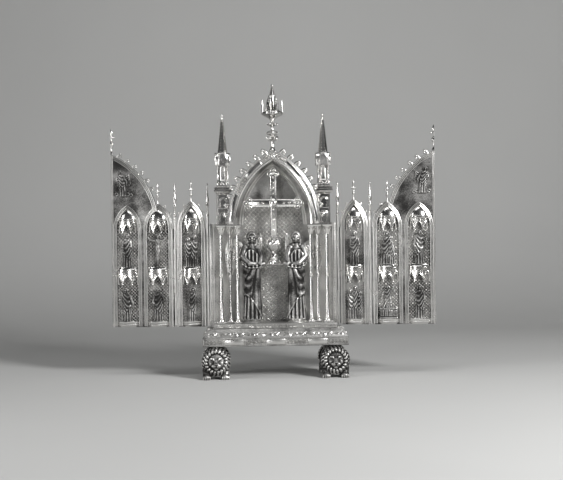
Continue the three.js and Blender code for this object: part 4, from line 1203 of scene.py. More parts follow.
SCENES = {"standing_saint": lambda: figure(
    86, hands=((-0.06, 0.6), (0.08, 0.56)), seed=11) + mound(-12, 12, 1),
    "crucified_figure": lambda: figure(
    84, wide=0.62, hands=((-0.26, 0.86), (0.26, 0.86)), head=-2, bare=True, seed=12) + [
    relief_bar(-22, 22, 68, 72.5, 3), relief_bar(-2.4, 2.4, 0, 85, 3)],
    "two_mourners": lambda: figure(80, x=-7, hands=((0.1, 0.6),), wide=0.85, seed=13) + figure(
    74, x=9, hands=((-0.1, 0.6),), wide=0.85, seed=14) + mound(-14, 15, 2),
    "striding_figure": lambda: figure(84, lean=0.08, hands=((-0.2, 0.5), (0.2, 0.66)), seed=15) + [
    rod(15.5, 1, 15.5, 74, 3)] + mound(-12, 14, 3), "pointing_figure": lambda: figure(
    85, hands=((-0.24, 0.66), (0.1, 0.5)), seed=16) + mound(-12, 12, 4),
    "bound_figure": lambda: figure(
    85, wide=0.8, lean=-0.04, hands=((0.08, 0.42), (0.08, 0.42)), seed=17) + [
    rod(-12, 1, 12, 1, 3, 1.6)],
    "reading_saint": lambda: figure(86, hands=((0.02, 0.58), (0.1, 0.6)), seed=18) + [
    relief_bar(2, 12, 48, 60, 9.8)] + mound(-12, 12, 5), "embracing_pair": lambda: figure(
    84, x=-8, lean=0.08, hands=((0.12, 0.58), (0.2, 0.66)), seed=19) + figure(
    72, x=10, lean=-0.1, hands=((-0.16, 0.6),), wide=0.9, seed=20) + mound(-16, 16, 6),
    "robed_prophet": lambda: figure(
    86, hands=((-0.1, 0.5), (0.2, 0.72)), seed=21) + mound(-12, 12, 7),
    "group_of_three": lambda: figure(76, x=-11, wide=0.72, seed=22) + figure(
    84, x=1, wide=0.75, hands=((-0.04, 0.6),), seed=23) + figure(
    70, x=12, wide=0.72, seed=24) + mound(-16, 17, 8), "rising_figure": lambda: figure(
    66, z=18, lean=-0.06, hands=((-0.2, 0.62), (0.24, 0.8)), seed=25) + [
    relief_bar(-22, 22, 0, 24, 8.2), relief_bar(-22.4, 22.4, 22.5, 26, 9.4),
    relief_bar(-22.4, 22.4, 0, 3, 9.4), *[
    relief_bar(-19 + 10.4 * k, -12 + 10.4 * k, 6, 20, 9.3) for k in range(4)],
    rod(-14, 24, 16, 84, 8, 1.5)], "blessing_saint": lambda: figure(
    85, hands=((-0.16, 0.78), (0.08, 0.54)), seed=26) + mound(-12, 12, 9),}


def make_scene(name, voxel):
    """One relief, cast in one and cut flat at the back."""
    scene = cast(SCENES[name](), voxel, 1)
    for point, normal in (((0, RELIEF_BACK, 0), (0, 1, 0)), ((0, 0, 0), (0, 0, -1))):
        only(scene)
        bpy.ops.object.mode_set(mode="EDIT")
        bpy.ops.mesh.select_all(action="SELECT")
        bpy.ops.mesh.bisect(plane_co=point, plane_no=normal, use_fill=True, clear_outer=True)
        bpy.ops.object.mode_set(mode="OBJECT")
    return note_hollows(scene, 0.9, 4)


def make_spandrel_angel(voxel):
    """A half-length angel that leans out of a scrolled cloud."""
    parts = figure(66, lean=0.16, wide=1.1, hands=((-0.22, 0.5), (0.1, 0.6)), seed=31)
    y = RELIEF_BACK - 3
    for from_x, to_x in ((-4, -15), (7, 13)):
        for k in range(4):
            share = k / 3
            tip = to_x * 1.25 - (to_x - from_x) * 0.3 * share
            parts.append(strands([[(from_x, y, 46 - 3 * k, 1.1), (to_x, y - 0.6, 53 - 6 * k, 1.2),
                (tip, y, 32 - 2 * k, 0.5)]], 2.3, 1))
    for k in range(6):
        a = -20 + 7.4 * k
        parts.append(strands([[(a + 3.4 * math.cos(t), y - 0.8, 2.6 + (k % 2) * 2.4
            + 3.4 * math.sin(t), 1) for t in np.linspace(0, 5.2, 9)]], 1.9, 1))
    angel = cast(parts, voxel, 1)
    only(angel)
    bpy.ops.object.mode_set(mode="EDIT")
    bpy.ops.mesh.select_all(action="SELECT")
    bpy.ops.mesh.bisect(plane_co=(0, RELIEF_BACK, 0), plane_no=(0, 1, 0), use_fill=True,
        clear_outer=True)
    bpy.ops.object.mode_set(mode="OBJECT")
    angel.data.transform(Matrix.Translation((BAYS["edge"]["u"] + 9, 0, 450)))
    return note_hollows(angel, 0.9, 4)


def make_angel(voxel):
    """A standing angel for the right-hand side, with the cross on its -X side."""
    foot = PLATFORM_TOP + GAP
    hem, shoulder = foot + 8, 326
    grip = np.array((-18.0, 274.0))

    def relief(phi, z):
        x = np.sin(phi)
        s = (z - hem) / (shoulder - hem)
        front = soft_step((np.cos(phi) + 0.35) / 0.5)
        flute = (np.abs(np.cos(phi * 6.5 + 0.5 * s)) ** 0.8 - 0.45) * 6.0 * soft_step(
            (0.62 - s) / 0.35)
        edge = 0.2 + 0.16 * x + 0.05 * np.cos(phi * 2)
        over = soft_step((s - edge) / 0.02) * soft_step((0.97 - s) / 0.05)
        fan = np.arctan2(x * 26 - grip[0], grip[1] - z + 14)
        rays = (np.abs(np.cos(fan * 6.2 + 0.4)) ** 0.7 - 0.5) * 5.2 * soft_step((0.8 - s) / 0.1)
        swag = np.cos(TAU * (s * 9 - 1.3 * (x - 0.45) ** 2)) * 1.9 * soft_step((x + 0.1) / 0.4)
        sleeve = np.cos(phi * 9 + 1) * 1.0 * soft_step((s - 0.72) / 0.1)
        rim = 1.3 * np.exp(-((s - edge - 0.012) / 0.011) ** 2)
        mantle = over * (2.0 + front * (rays + swag * 0.8) + sleeve)
        return flute * (1 - 0.85 * over) + mantle + rim

    levels = [(hem - 1, 22, 14), (hem + 10, 20.5, 13), (hem + 70, 17, 11.5), (hem + 110, 18, 12),
        (hem + 140, 19, 12.5), (hem + 163, 18, 11.5), (hem + 176, 14, 9.5),
        (shoulder + 3, 6.5, 6.5), (shoulder + 6, 5.6, 6)]
    parts = [cloth_body(levels, lambda z: 0 * z, relief, rows=110, around=130)]
    # The cloth over the forearms, with its hem.
    steps = 40
    curtain, hem_line, second_line = [], [], []
    for k in range(steps + 1):
        t = k / steps
        x = -26 + 50 * t
        flute = 2.6 * math.cos(t * 34) * (0.35 + 0.65 * math.sin(math.pi * t))
        low = 268 + 4 * (2 * t - 1) ** 2 + (6 * max(0.0, t - 0.7) / 0.3)
        high = 288 + 26 * math.sin(math.pi * min(1.0, max(0.0, (t - 0.12) / 0.88))) ** 0.8
        y = -17.5 + flute + 5 * t * t
        curtain.append([(x, y - 2, low), (x, y - 2.5 + 3 * t, high), (x, y + 7, high),
            (x, y + 9, low)])
        hem_line.append((x, y - 2.4, low + 0.6))
        second_line.append((x, y - 2.5, low + 5.6))
    points = [p for ring in curtain for p in ring]
    faces = [(4 * k + a, 4 * k + (a + 1) % 4, 4 * k + 4 + (a + 1) % 4, 4 * k + 4 + a)
        for k in range(steps) for a in range(4)]
    faces += [(0, 1, 2, 3), tuple(4 * steps + a for a in range(4))]
    parts += [outward(mesh_object(points, faces, "curtain")),
        strands([hem_line], 1.9, 1), strands([second_line], 1.1, 1)]
    for side in (-1, 1):
        parts.append(strands([[(side * 17, -3, shoulder - 10, 1.0), (side * 22, -8, 296, 1.15),
            (side * 13 - 8, -17, 279, 1.0), (-24, -17 + side * 3, 277, 0.7),
            (-31, -15 + side * 4, 280, 0.5)]], 7.5, 3))
        parts.append(ball(-30, -15 + side * 4, 279.5, 4.4, 3.0, 3.0, 10))
        parts.append(ball(side * 14.5, -1.5, shoulder - 9, 9, 8.6, 9.4, 16))
        parts.append(ball(side * 8, 0, shoulder - 3, 9, 8, 7, 16))
    hx, hy, hz = -1.0, -3.0, shoulder + 17
    parts += [
        ball(hx, hy - 1.5, hz - 0.5, 8.4, 9.0, 11.0, 24), ball(hx, hy + 1, hz + 3, 11, 8.6, 11, 20),
        ball(hx, hy - 4, hz - 9, 4.6, 4.8, 3.4, 14),
        strands([[(hx, hy - 10.4, hz + 2.4, 0.8), (hx, hy - 11.6, hz - 1.2, 1.0),
        (hx, hy - 12.0, hz - 3.2, 1.2)]], 1.25, 2),
        ball(hx - 1.3, hy - 10.4, hz - 3.6, 1.2, 1.2, 1.0, 8),
        ball(hx + 1.3, hy - 10.4, hz - 3.6, 1.2, 1.2, 1.0, 8),
        strands([[(hx - 2.6, hy - 9.8, hz - 6.6, 0.7), (hx, hy - 10.6, hz - 6.3, 1.1),
        (hx + 2.6, hy - 9.8, hz - 6.6, 0.7)]], 0.8, 1),
        strands([[(hx - 2.2, hy - 9.6, hz - 8.1, 0.7), (hx, hy - 10.2, hz - 8.3, 1.1),
        (hx + 2.2, hy - 9.6, hz - 8.1, 0.7)]], 0.85, 1),
        ball(hx, hy + 2, shoulder + 6, 5.4, 5.6, 9, 16)]
    for side in (-1, 1):
        parts += [strands([[(hx + side * 1.4, hy - 10.0, hz + 2.6, 0.8),
            (hx + side * 4.2, hy - 9.4, hz + 3.4, 1.0),
            (hx + side * 7.0, hy - 7.0, hz + 2.2, 0.7)]], 1.0, 1),
            ball(hx + side * 3.5, hy - 8.9, hz + 0.6, 1.9, 1.2, 1.1, 10),
            ball(hx + side * 4.6, hy - 7.0, hz - 4.0, 3.4, 3.0, 3.2, 12)]
    for polar, count, size in ((46, 11, 2.3), (64, 14, 2.7), (86, 15, 2.9), (108, 15, 2.9)):
        out, back = math.sin(math.radians(polar)), math.cos(math.radians(polar))
        for k in range(count):
            a = math.radians(-38 + 256 * (k + 0.5 * (polar % 4 == 0)) / (count - 1))
            parts.append(ball(hx + 11.2 * out * math.cos(a), hy + 1 - 9.6 * back,
                hz + 2 + 11.6 * out * math.sin(a), size, segments=8))
    for side in (-1, 1):
        for k in range(4):
            parts.append(ball(hx + side * (10.2 + 0.5 * k), hy - 2 + 0.8 * k, hz - 6 - k * 3.6,
                3.0, 3.2, 2.8, 8))
    pedestal = turned([(24, foot), (24.5, foot + 1.2), (23, foot + 3), (20, foot + 4.4),
        (20.5, foot + 6), (22, foot + 7.5), (21, hem + 1)], 28)
    angel = cast(parts, voxel, 1)
    angel = joined([note_hollows(angel, 0.5, 7), tone(pedestal, 0.35)])
    outer = [(14, shoulder - 6), (26, shoulder + 6), (40, shoulder + 13), (52, shoulder + 13),
        (60, shoulder + 7), (64, shoulder - 8), (65, shoulder - 26), (61, shoulder - 56),
        (56, shoulder - 80), (50, shoulder - 96), (46, shoulder - 70), (40, shoulder - 52),
        (16, shoulder - 34)]
    inner = [(-12, shoulder - 14), (-15, shoulder + 6), (-19, shoulder + 20),
        (-22, shoulder + 28), (-26, shoulder + 18), (-28, shoulder - 2),
        (-26, shoulder - 16), (-20, shoulder - 26)]
    wings = [tone(plank(outer, 8.5, 11.5, 0.8), 0.2), tone(plank(inner, 5.5, 8.5, 0.8), 0.1)]
    ribs = []
    for k in range(8):
        t = k / 7
        ribs.append([(18 + 40 * t, 8.3, shoulder - 8 + 16 * t - 3 * t * t, 0.8),
            (30 + 33 * t, 7.9, shoulder - 34 - 4 * t, 1.1),
            (40 + 18 * t, 8.2, shoulder - 56 - 22 * t, 0.7)])
    for k in range(4):
        t = k / 3
        ribs.append([(-13 - 10 * t, 5.3, shoulder - 10 - 8 * t, 0.8),
            (-15 - 10 * t, 5.0, shoulder + 8 + 2 * t, 1.0),
            (-20 - 3 * t, 5.3, shoulder + 22 - 6 * t, 0.6)])
    wings.append(tone(strands(ribs, 1.5, 2), 0.0))
    angel = joined([angel, *wings])
    angel.data.transform(Matrix.Translation((55, -7, 0)))
    return angel


PUNCH_PITCH = 3.4
STAND_Y = -12


def make_stand():
    """The plate between the angels, with the moulded foot and gemmed knop of the cross."""
    y = STAND_Y
    board = stepped([(20.6, 12.6, 272), (22, 14, 273.2), (22, 14, 275), (21, 13, 275.8),
        (22, 14, 276.8), (22, 14, 278.4), (21.2, 13.2, 279)], 0, y)
    foot = turned([(18, 278.5), (18, 281), (17, 282), (17.4, 283), (16, 285), (13, 288),
        (13.4, 290), (12.4, 291), (12.6, 293), (9, 297), (8.6, 300), (7.6, 302),
        (8.6, 304), (7, 306), (7, 309)], 12, 0, y, TAU / 24)
    knop = turned([(7, 308), (10, 310), (14, 314), (16.4, 319), (17, 324), (17, 330), (15.6, 335),
        (12, 339), (8.4, 341), (7.6, 342), (9, 343), (9, 344.6), (8, 345.7)], 24, 0, y)
    parts = [tone(board, 0.05), tone(foot, 0.2), tone(knop, 0.45)]
    gems = []
    for k in range(8):
        around = Matrix.Rotation(k * TAU / 8, 4, "Z")
        gems.append(Matrix.Translation((0, y, 327)) @ around @ Matrix.Translation((16.2, 0, 0)))
    lay(parts, repeated(ball(0, 0, 0, 2.4, 4.2, 4.6, 10), gems))
    routes = []
    for k in range(8):
        for hand in (-1, 1):
            route = []
            for s in range(9):
                t = s / 8
                z = 311 + 29 * t
                r = 17.2 * math.sin(math.pi * (0.2 + 0.6 * t)) ** 0.55
                a = (k + 0.5) * TAU / 8 + hand * TAU / 8 * t
                route.append((r * math.cos(a), y + r * math.sin(a), z))
            routes.append(route)
    lay(parts, strands(routes, 0.8, 1))
    edge = [(x * 22, y + d * 14, 277.4) for x, d in ((-1, -1), (1, -1), (1, 1), (-1, 1), (-1, -1))]
    lay(parts, strands([edge], 1.0, 2))
    return joined(parts)


def make_cross():
    """The reliquary cross with beaded edges, gems and trefoil ends."""
    y, half, middle = STAND_Y, 8.2, 427
    parts = [tone(block(-half, half, y - 2, y + 3, 346, 500, 0.6), 0.3),
        tone(block(-61, 61, y - 2, y + 3, middle - half, middle + half, 0.6), 0.3)]
    beads, rims, gems = [], [], []
    for x, z, dx, dz in ((0, 499, 0, 1), (59, middle, 1, 0), (-59, middle, -1, 0)):
        for out, aside in ((9, 0), (0, 8), (0, -8)):
            cx, cz = x + dx * out + dz * aside, z + dz * out + dx * aside
            disc = turned([(6.4, -3), (7, -2.4), (7, 1.6), (6.4, 2.2)], 20)
            disc.data.transform(Matrix.Translation((cx, y, cz)) @ Matrix.Rotation(
                math.pi / 2, 4, "X"))
            lay(parts, disc, 0.3)
            rims.append([(cx + 5.9 * math.cos(a), y - 2.4, cz + 5.9 * math.sin(a))
                for a in np.linspace(0, TAU, 17)])
            gems.append((cx, cz, 3.2))
    for a, b in (((-half, 346), (-half, 497)), ((half, 346), (half, 497)),
            ((-59, middle - half), (59, middle - half)),
            ((-59, middle + half), (59, middle + half))):
        inset = [(p[0] * 0.9 if abs(p[0]) == half else p[0],
            middle + (p[1] - middle) * 0.9 if abs(p[1] - middle) == half else p[1])
            for p in (a, b)]
        rims.append([(inset[0][0], y - 2, inset[0][1]), (inset[1][0], y - 2, inset[1][1])])
    for z in range(360, 492, 13):
        if abs(z - middle) > 14:
            gems.append((0, z, 3.0 if (z // 13) % 2 else 2.1))
    for x in range(-52, 53, 13):
        if abs(x) > 14:
            gems.append((x, middle, 3.0 if (x // 13) % 2 else 2.1))
    lay(parts, strands(rims, 0.9, 1))
    for x, z, r in gems:
        beads += [(x + (r + 1.5) * math.cos(a), y - 2.2, z + (r + 1.5) * math.sin(a))
            for a in np.arange(6) * TAU / 6]
    stones = [Matrix.Translation((x, y - 2, z)) @ Matrix.Scale(r, 4) for x, z, r in gems]
    lay(parts, repeated(ball(0, 0, 0, 1, 0.7, 1, 10), stones))
    lay(parts, grain_cluster(beads, 0.8))
    boss = turned([(10, 0), (10.4, 1), (10.4, 3), (9, 4), (7.6, 3.6), (7, 4.6), (5, 6.4),
        (2, 7)], 24)
    boss.data.transform(Matrix.Translation((0, y - 0.5, middle)) @ Matrix.Rotation(
        math.pi / 2, 4, "X"))
    lay(parts, boss, 0.05)
    return joined(parts)


def apse_points(middle, z, half, depth, steps=24):
    return [(middle + half * math.cos(k / steps * math.pi),
        RELIEF_BACK - depth * math.sin(k / steps * math.pi), z) for k in range(steps + 1)]


def apse_body(middle, profile, steps=24):
    """A half round body against the ground of a bay, through half widths, depths and heights."""
    rings = [apse_points(middle, z, half, depth, steps) for half, depth, z in profile]
    count = steps + 1
    points = [p for ring in rings for p in ring]
    faces = []
    for r in range(len(rings) - 1):
        for k in range(count):
            n = (k + 1) % count
            faces.append((r * count + k, r * count + n, (r + 1) * count + n, (r + 1) * count + k))
    faces += [tuple(range(count)), tuple((len(rings) - 1) * count + k for k in range(count))]
    return outward(mesh_object(points, faces, "apse"))


def apse_ring(middle, z, half, depth, radius):
    return strands([apse_points(middle, z, half, depth)], radius, 2)


def hanging_arcade(middle, top, half, depth):
    """A curved wall whose lower edge rises in pointed arches between three pendants."""
    steps, wall = 48, 1.6

    def low(share):
        within = abs((share * 3) % 1 - 0.5) * 2
        return top - ARCADE_DROP * (0.3 + 0.7 * within ** 1.7)

    rings = []
    edge, second, third = [], [], []
    for k in range(steps + 1):
        share = k / steps
        a = share * math.pi
        c, s = math.cos(a), math.sin(a)
        z = low(share)
        rings.append([(middle + half * c, RELIEF_BACK - depth * s, z),
            (middle + half * c, RELIEF_BACK - depth * s, top),
            (middle + (half - wall) * c, RELIEF_BACK - (depth - wall) * s, top),
            (middle + (half - wall) * c, RELIEF_BACK - (depth - wall) * s, z)])
        edge.append((middle + half * c, RELIEF_BACK - (depth + 0.1) * s, z))
        second.append((middle + (half + 0.2) * c, RELIEF_BACK - (depth + 0.2) * s,
            min(z + 6.5, top - 0.5)))
        third.append((middle + (half + 0.2) * c, RELIEF_BACK - (depth + 0.2) * s,
            min(z + 12.5, top - 0.5)))
    points = [p for ring in rings for p in ring]
    faces = [(4 * k + a, 4 * k + (a + 1) % 4, 4 * k + 4 + (a + 1) % 4, 4 * k + 4 + a)
        for k in range(steps) for a in range(4)]
    faces += [(0, 1, 2, 3), tuple(4 * steps + a for a in range(4))]
    parts = [tone(outward(mesh_object(points, faces, "arcade")), 0.3),
        tone(strands([edge], 1.1, 2), 0.0), tone(strands([second, third], 0.7, 1), 0.0)]
    for share in (1 / 3, 2 / 3):
        a = share * math.pi
        lay(parts, ball(middle + half * math.cos(a), RELIEF_BACK - depth * math.sin(a),
            low(share) + 0.4, 1.9, 1.9, 2.6, 10))
    return parts


def make_canopy(bay):
    """A half dome on a double rim, with its hanging arcade."""
    half, deep, u = bay["rim"], RELIEF_DEPTH, bay["u"]
    rise = CANOPY_TOP - CANOPY_RIM - 6
    profile = [(half - 0.8, deep - 0.8, CANOPY_RIM - 1), (half - 0.8, deep - 0.8, CANOPY_RIM + 6)]
    for k in range(1, 10):
        t = k / 9
        r = math.cos(t * math.pi / 2 * 0.97) ** 0.8
        profile.append(((half - 1.4) * r, (deep - 1.2) * r, CANOPY_RIM + 6 + rise * t))
    parts = [tone(apse_body(u, profile), 0.05)]
    for z, r in ((CANOPY_RIM + 0.6, 1.5), (CANOPY_RIM + 5, 1.3)):
        lay(parts, apse_ring(u, z, half - 0.6, deep - 1.0, r))
    parts += hanging_arcade(u, CANOPY_RIM + 0.4, half - 1.4, deep - 1.6)
    return joined(parts)


def make_middle_shelf(bay):
    half, u, deep = bay["field"] - 1.2, bay["u"], RELIEF_DEPTH
    low, high = MID_SHELF_BOTTOM, MID_SHELF_TOP
    profile = [(half - 1.5, deep - 1.5, low), (half, deep, low + 1.2), (half, deep, low + 3),
        (half - 1.6, deep - 1.4, low + 4), (half - 1.6, deep - 1.4, low + 6),
        (half, deep, low + 7), (half, deep, low + 9.4), (half - 1.4, deep - 1, low + 10.4),
        (half - 3, deep - 2, high)]
    parts = [tone(apse_body(u, profile), 0.06)]
    parts += hanging_arcade(u, low + 1, half - 1.9, deep - 1.9)
    return joined(parts)


def foot_shelf(bay):
    half, u, deep = bay["field"] - 1, bay["u"], RELIEF_DEPTH
    low, high = WING_BOTTOM, SHELF_TOP
    profile = [(half - 6, deep - 5, low), (half - 5, deep - 3.6, low + 2),
        (half - 1, deep, low + 5), (half - 0.4, deep, low + 7),
        (half - 1.4, deep - 1, low + 8.4), (half, deep, low + 10),
        (half, deep, high - 1), (half - 1, deep - 1, high)]
    return tone(apse_body(u, profile), 0.08)


def bay_frame(bay, parts):
    """The mouldings round the sunk ground of a bay."""
    u, face = bay["u"], -HALF_THICK
    for inset, radius in ((0.2, 1.3), (3.4, 0.8), (6.6, 1.2)):
        half = bay["field"] + inset
        outline = [(u + half, SHELF_TOP - 12), *arch(half, bay["offset"], WING_SPRINGING, 16, u),
            (u - half, SHELF_TOP - 12)]
        lay(parts, bead_line(outline, face, radius, 2))


def bay_ground(bay, pattern, sizes):
    """The chased ground of a bay."""
    u, half, face = bay["u"], bay["field"], FIELD_SUNK - HALF_THICK

    def inside(x, z):
        return abs(x - u) < arch_width(half - 1.2, bay["offset"], WING_SPRINGING, z)

    top = WING_SPRINGING + 62
    if pattern == "lozenge":
        made = lozenges(inside, u - half, u + half, SHELF_TOP, top, face, sizes.lozenge,
            sizes.wire)
        return [tone(part, 0.0) for part in made]
    dice = random.Random(9)
    grains = []
    for row in range(int((top - SHELF_TOP) / PUNCH_PITCH)):
        for k in range(int(2 * half / PUNCH_PITCH) + 1):
            x = u - half + (k + 0.5 * (row % 2)) * PUNCH_PITCH + dice.uniform(-0.3, 0.3)
            z = SHELF_TOP + row * PUNCH_PITCH + dice.uniform(-0.3, 0.3)
            if inside(x, z):
                grains.append((x, face, z))
    return [tone(grain_cluster(grains, 1.15), 0.1)]


def small_finial(middle, bottom, top):
    rise = top - bottom
    shape = [(3.2, 0), (2.4, 0.1), (1.5, 0.2), (1.5, 0.3), (3.6, 0.36), (3.6, 0.4), (1.5, 0.46),
        (1.4, 0.56), (2.2, 0.62), (1.4, 0.66), (1.3, 0.72), (2.4, 0.8), (2.6, 0.86),
        (1.6, 0.94), (0.5, 1)]
    parts = [turned([(r, bottom + rise * s) for r, s in shape], 12, middle, 0)]
    z = bottom + rise * 0.61
    parts += [ball(middle + side * 4, 0, z, 2.2, 2.0, 2.0, 10) for side in (-1, 1)]
    parts.append(strands([[(middle - 4, 0, z), (middle + 4, 0, z)]], 1.1, 2))
    return tone(joined(parts), 0.0)


def leaf_plate(outline, bays, extra):
    plate = plank(outline, -HALF_THICK, HALF_THICK)
    holes = [plank(lancet_outline(bay["field"], bay["offset"], WING_SPRINGING, SHELF_TOP, 12,
        bay["u"]), -HALF_THICK - 1, FIELD_SUNK - HALF_THICK) for bay in bays]
    # The plate gets a deep tone: patina and painted shade behind the wires and mouldings laid on
    # it.
    return tone(carved(plate, holes + extra), 0.42)


def stiles(lines, z0, z1, radius, y=-HALF_THICK):
    return tone(strands([[(u, y, z0), (u, y, z1)] for u in lines], radius, 2), 0.0)


def back_panel(u0, u1, z0, z1):
    """A plain framed panel on the back of a leaf."""
    y = HALF_THICK
    return tone(strands([[(u0, y, z0), (u1, y, z0), (u1, y, z1), (u0, y, z1), (u0, y, z0)]],
        0.9, 2), 0.0)


def make_inner_leaf(sizes):
    bay = BAYS["inner"]
    head = arch(bay["arch"], bay["offset"], WING_SPRINGING, 16, bay["u"])
    u0, u1 = EDGE, INNER_SPAN - EDGE
    outline = [(u0, WING_BOTTOM), (u1, WING_BOTTOM), (u1, WING_SPRINGING), *head,
        (u0, WING_SPRINGING)]
    parts = [leaf_plate(outline, [bay], []), foot_shelf(bay)]
    bay_frame(bay, parts)
    parts += bay_ground(bay, "punched", sizes)
    lay(parts, bead_line([(x, z) for x, z in head], 0, 2.4, 2))
    parts.append(stiles((u0 + 2.9, u1 - 1.6), WING_BOTTOM, WING_SPRINGING, 1.2))
    places = [(on_arch(bay["arch"], bay["offset"], WING_SPRINGING, s, side, bay["u"]), side)
        for s in BAY_CROCKETS for side in (-1, 1)]
    lay(parts, crocket_row(places, sizes.crocket, 0))
    apex = head[16][1]
    parts.append(small_finial(bay["u"], apex - 4, 486))
    lay(parts, knuckle(1, EDGE + 1, 0, 0), 0.15)
    for level in (0, 2):
        lay(parts, knuckle(level, -EDGE - 1, INNER_SPAN, 0), 0.15)
    parts.append(back_panel(u0 + 6, u1 - 6, WING_BOTTOM + 8, WING_SPRINGING - 6))
    return joined(parts)


def quarter_outline(inset, steps=20):
    """The quarter arch over the outer leaf, from the free edge down to the hinge."""
    radius = math.hypot(QUARTER_ARCH_TOP - SPRINGING, QUARTER_ARCH_OFFSET)
    centre = OUTER_SPAN + QUARTER_ARCH_OFFSET
    r = radius - inset
    edge = OUTER_SPAN - (inset - 2 if inset > 2 else 0)
    start = math.acos((centre - edge) / r)
    return [(centre - r * math.cos(start * (1 - k / steps)),
        SPRINGING + r * math.sin(start * (1 - k / steps))) for k in range(steps + 1)]


def make_outer_leaf(sizes):
    hinge_bay, edge_bay = BAYS["hinge"], BAYS["edge"]
    curve = quarter_outline(0)
    bay_head = arch(hinge_bay["arch"], hinge_bay["offset"], WING_SPRINGING, 16, hinge_bay["u"])
    left_head = [p for p in bay_head[16:]]
    meeting = next(k for k, (x, z) in enumerate(curve) if x < hinge_bay["u"] + hinge_bay["arch"]
        and z < WING_SPRINGING + 50)
    outline = [(EDGE, WING_BOTTOM), (OUTER_SPAN, WING_BOTTOM), *curve[:meeting]]
    right_head = [p for p in bay_head[:17] if p[0] < curve[meeting - 1][0]]
    outline += [*right_head, *left_head[1:], (EDGE, WING_SPRINGING)]
    spandrel = plank([*quarter_outline(10), (quarter_outline(10)[-1][0], WING_SPRINGING + 12),
        (OUTER_SPAN - 8, WING_SPRINGING + 12)], -HALF_THICK - 1, FIELD_SUNK - HALF_THICK)
    keep = [plank(lancet_outline(bay["arch"] - 1, bay["offset"], WING_SPRINGING, WING_SPRINGING - 9,
        12, bay["u"]), -HALF_THICK - 2, HALF_THICK) for bay in (hinge_bay, edge_bay)]
    spandrel = carved(spandrel, keep)
    parts = [leaf_plate(outline, [hinge_bay, edge_bay], [spandrel])]
    for bay in (hinge_bay, edge_bay):
        parts.append(foot_shelf(bay))
        bay_frame(bay, parts)
        parts += bay_ground(bay, "lozenge", sizes)

    def in_spandrel(x, z):
        radius = math.hypot(QUARTER_ARCH_TOP - SPRINGING, QUARTER_ARCH_OFFSET) - 11.5
        centre = OUTER_SPAN + QUARTER_ARCH_OFFSET
        under = math.hypot(centre - x, z - SPRINGING) < radius and x < OUTER_SPAN - 10
        over = all(abs(x - bay["u"]) > arch_width(bay["arch"] + 1, bay["offset"], WING_SPRINGING, z)
            for bay in (hinge_bay, edge_bay))
        return under and over

    for part in lozenges(in_spandrel, 20, OUTER_SPAN, WING_SPRINGING + 12, QUARTER_ARCH_TOP,
            FIELD_SUNK - HALF_THICK, sizes.lozenge * 0.62, 0.75):
        lay(parts, part)
    for inset, radius in ((1.8, 1.7), (5.6, 1.1), (9.4, 1.3)):
        line = [(min(x, OUTER_SPAN - 1.2), z) for x, z in quarter_outline(inset, 28)]
        lay(parts, bead_line(line, -HALF_THICK, radius, 2))
    parts.append(stiles((EDGE + 2.9,), WING_BOTTOM, WING_SPRINGING, 1.2))
    parts.append(stiles((OUTER_SPAN - 1.7, OUTER_SPAN - 4.6), WING_BOTTOM, QUARTER_ARCH_TOP - 4,
        1.1))
    radius = math.hypot(QUARTER_ARCH_TOP - SPRINGING, QUARTER_ARCH_OFFSET)
    centre = OUTER_SPAN + QUARTER_ARCH_OFFSET
    places = []
    for share in QUARTER_ARCH_CROCKETS:
        angle = share * math.acos(QUARTER_ARCH_OFFSET / radius)
        places.append(((centre - radius * math.cos(angle), SPRINGING + radius * math.sin(angle),
            -math.cos(angle), math.sin(angle)), -1))
    lay(parts, crocket_row(places, sizes.crocket * 1.45, 0))
    bay = hinge_bay
    lay(parts, bead_line(bay_head, 0, 2.2, 2))
    places = [(on_arch(bay["arch"], bay["offset"], WING_SPRINGING, s, -1, bay["u"]), -1)
        for s in BAY_CROCKETS]
    lay(parts, crocket_row(places, sizes.crocket, 0))
    parts.append(small_finial(bay["u"], bay_head[16][1] - 4, 482))
    lay(parts, knuckle(1, EDGE + 1, 0, 0), 0.15)
    parts.append(back_panel(EDGE + 6, OUTER_SPAN - 6, WING_BOTTOM + 8, WING_SPRINGING - 6))
    return joined(parts)


def make_half_finial():
    """Half a finial, cut flat at the free edge."""
    foot = QUARTER_ARCH_TOP + GAP
    rows = [(7.4, 0), (6, 2), (3.2, 6), (2.4, 12), (2.4, 18), (5, 21), (7.4, 24), (7.4, 27),
        (5, 30), (2.4, 33), (2.2, 40), (4, 42), (4, 44), (2.6, 46), (4.6, 50), (5, 54),
        (3, 60), (0.6, HALF_FINIAL_TOP - foot)]
    whole = turned([(r, foot + z) for r, z in rows], 18, OUTER_SPAN, 0)
    whole.data.transform(Matrix.Diagonal((1, 0.5, 1, 1)))
    knobs = [strands([[(OUTER_SPAN - 1, 0, foot + 43), (OUTER_SPAN - 6, 0, foot + 43)]], 1.4, 2),
        ball(OUTER_SPAN - 6.4, 0, foot + 43, 2.6, 2.4, 2.6, 10)]
    whole = joined([whole, *knobs])
    only(whole)
    bpy.ops.object.mode_set(mode="EDIT")
    bpy.ops.mesh.select_all(action="SELECT")
    bpy.ops.mesh.bisect(plane_co=(OUTER_SPAN - 0.2, 0, 0), plane_no=(1, 0, 0), use_fill=True,
        clear_outer=True)
    bpy.ops.object.mode_set(mode="OBJECT")
    return tone(whole, 0.05)


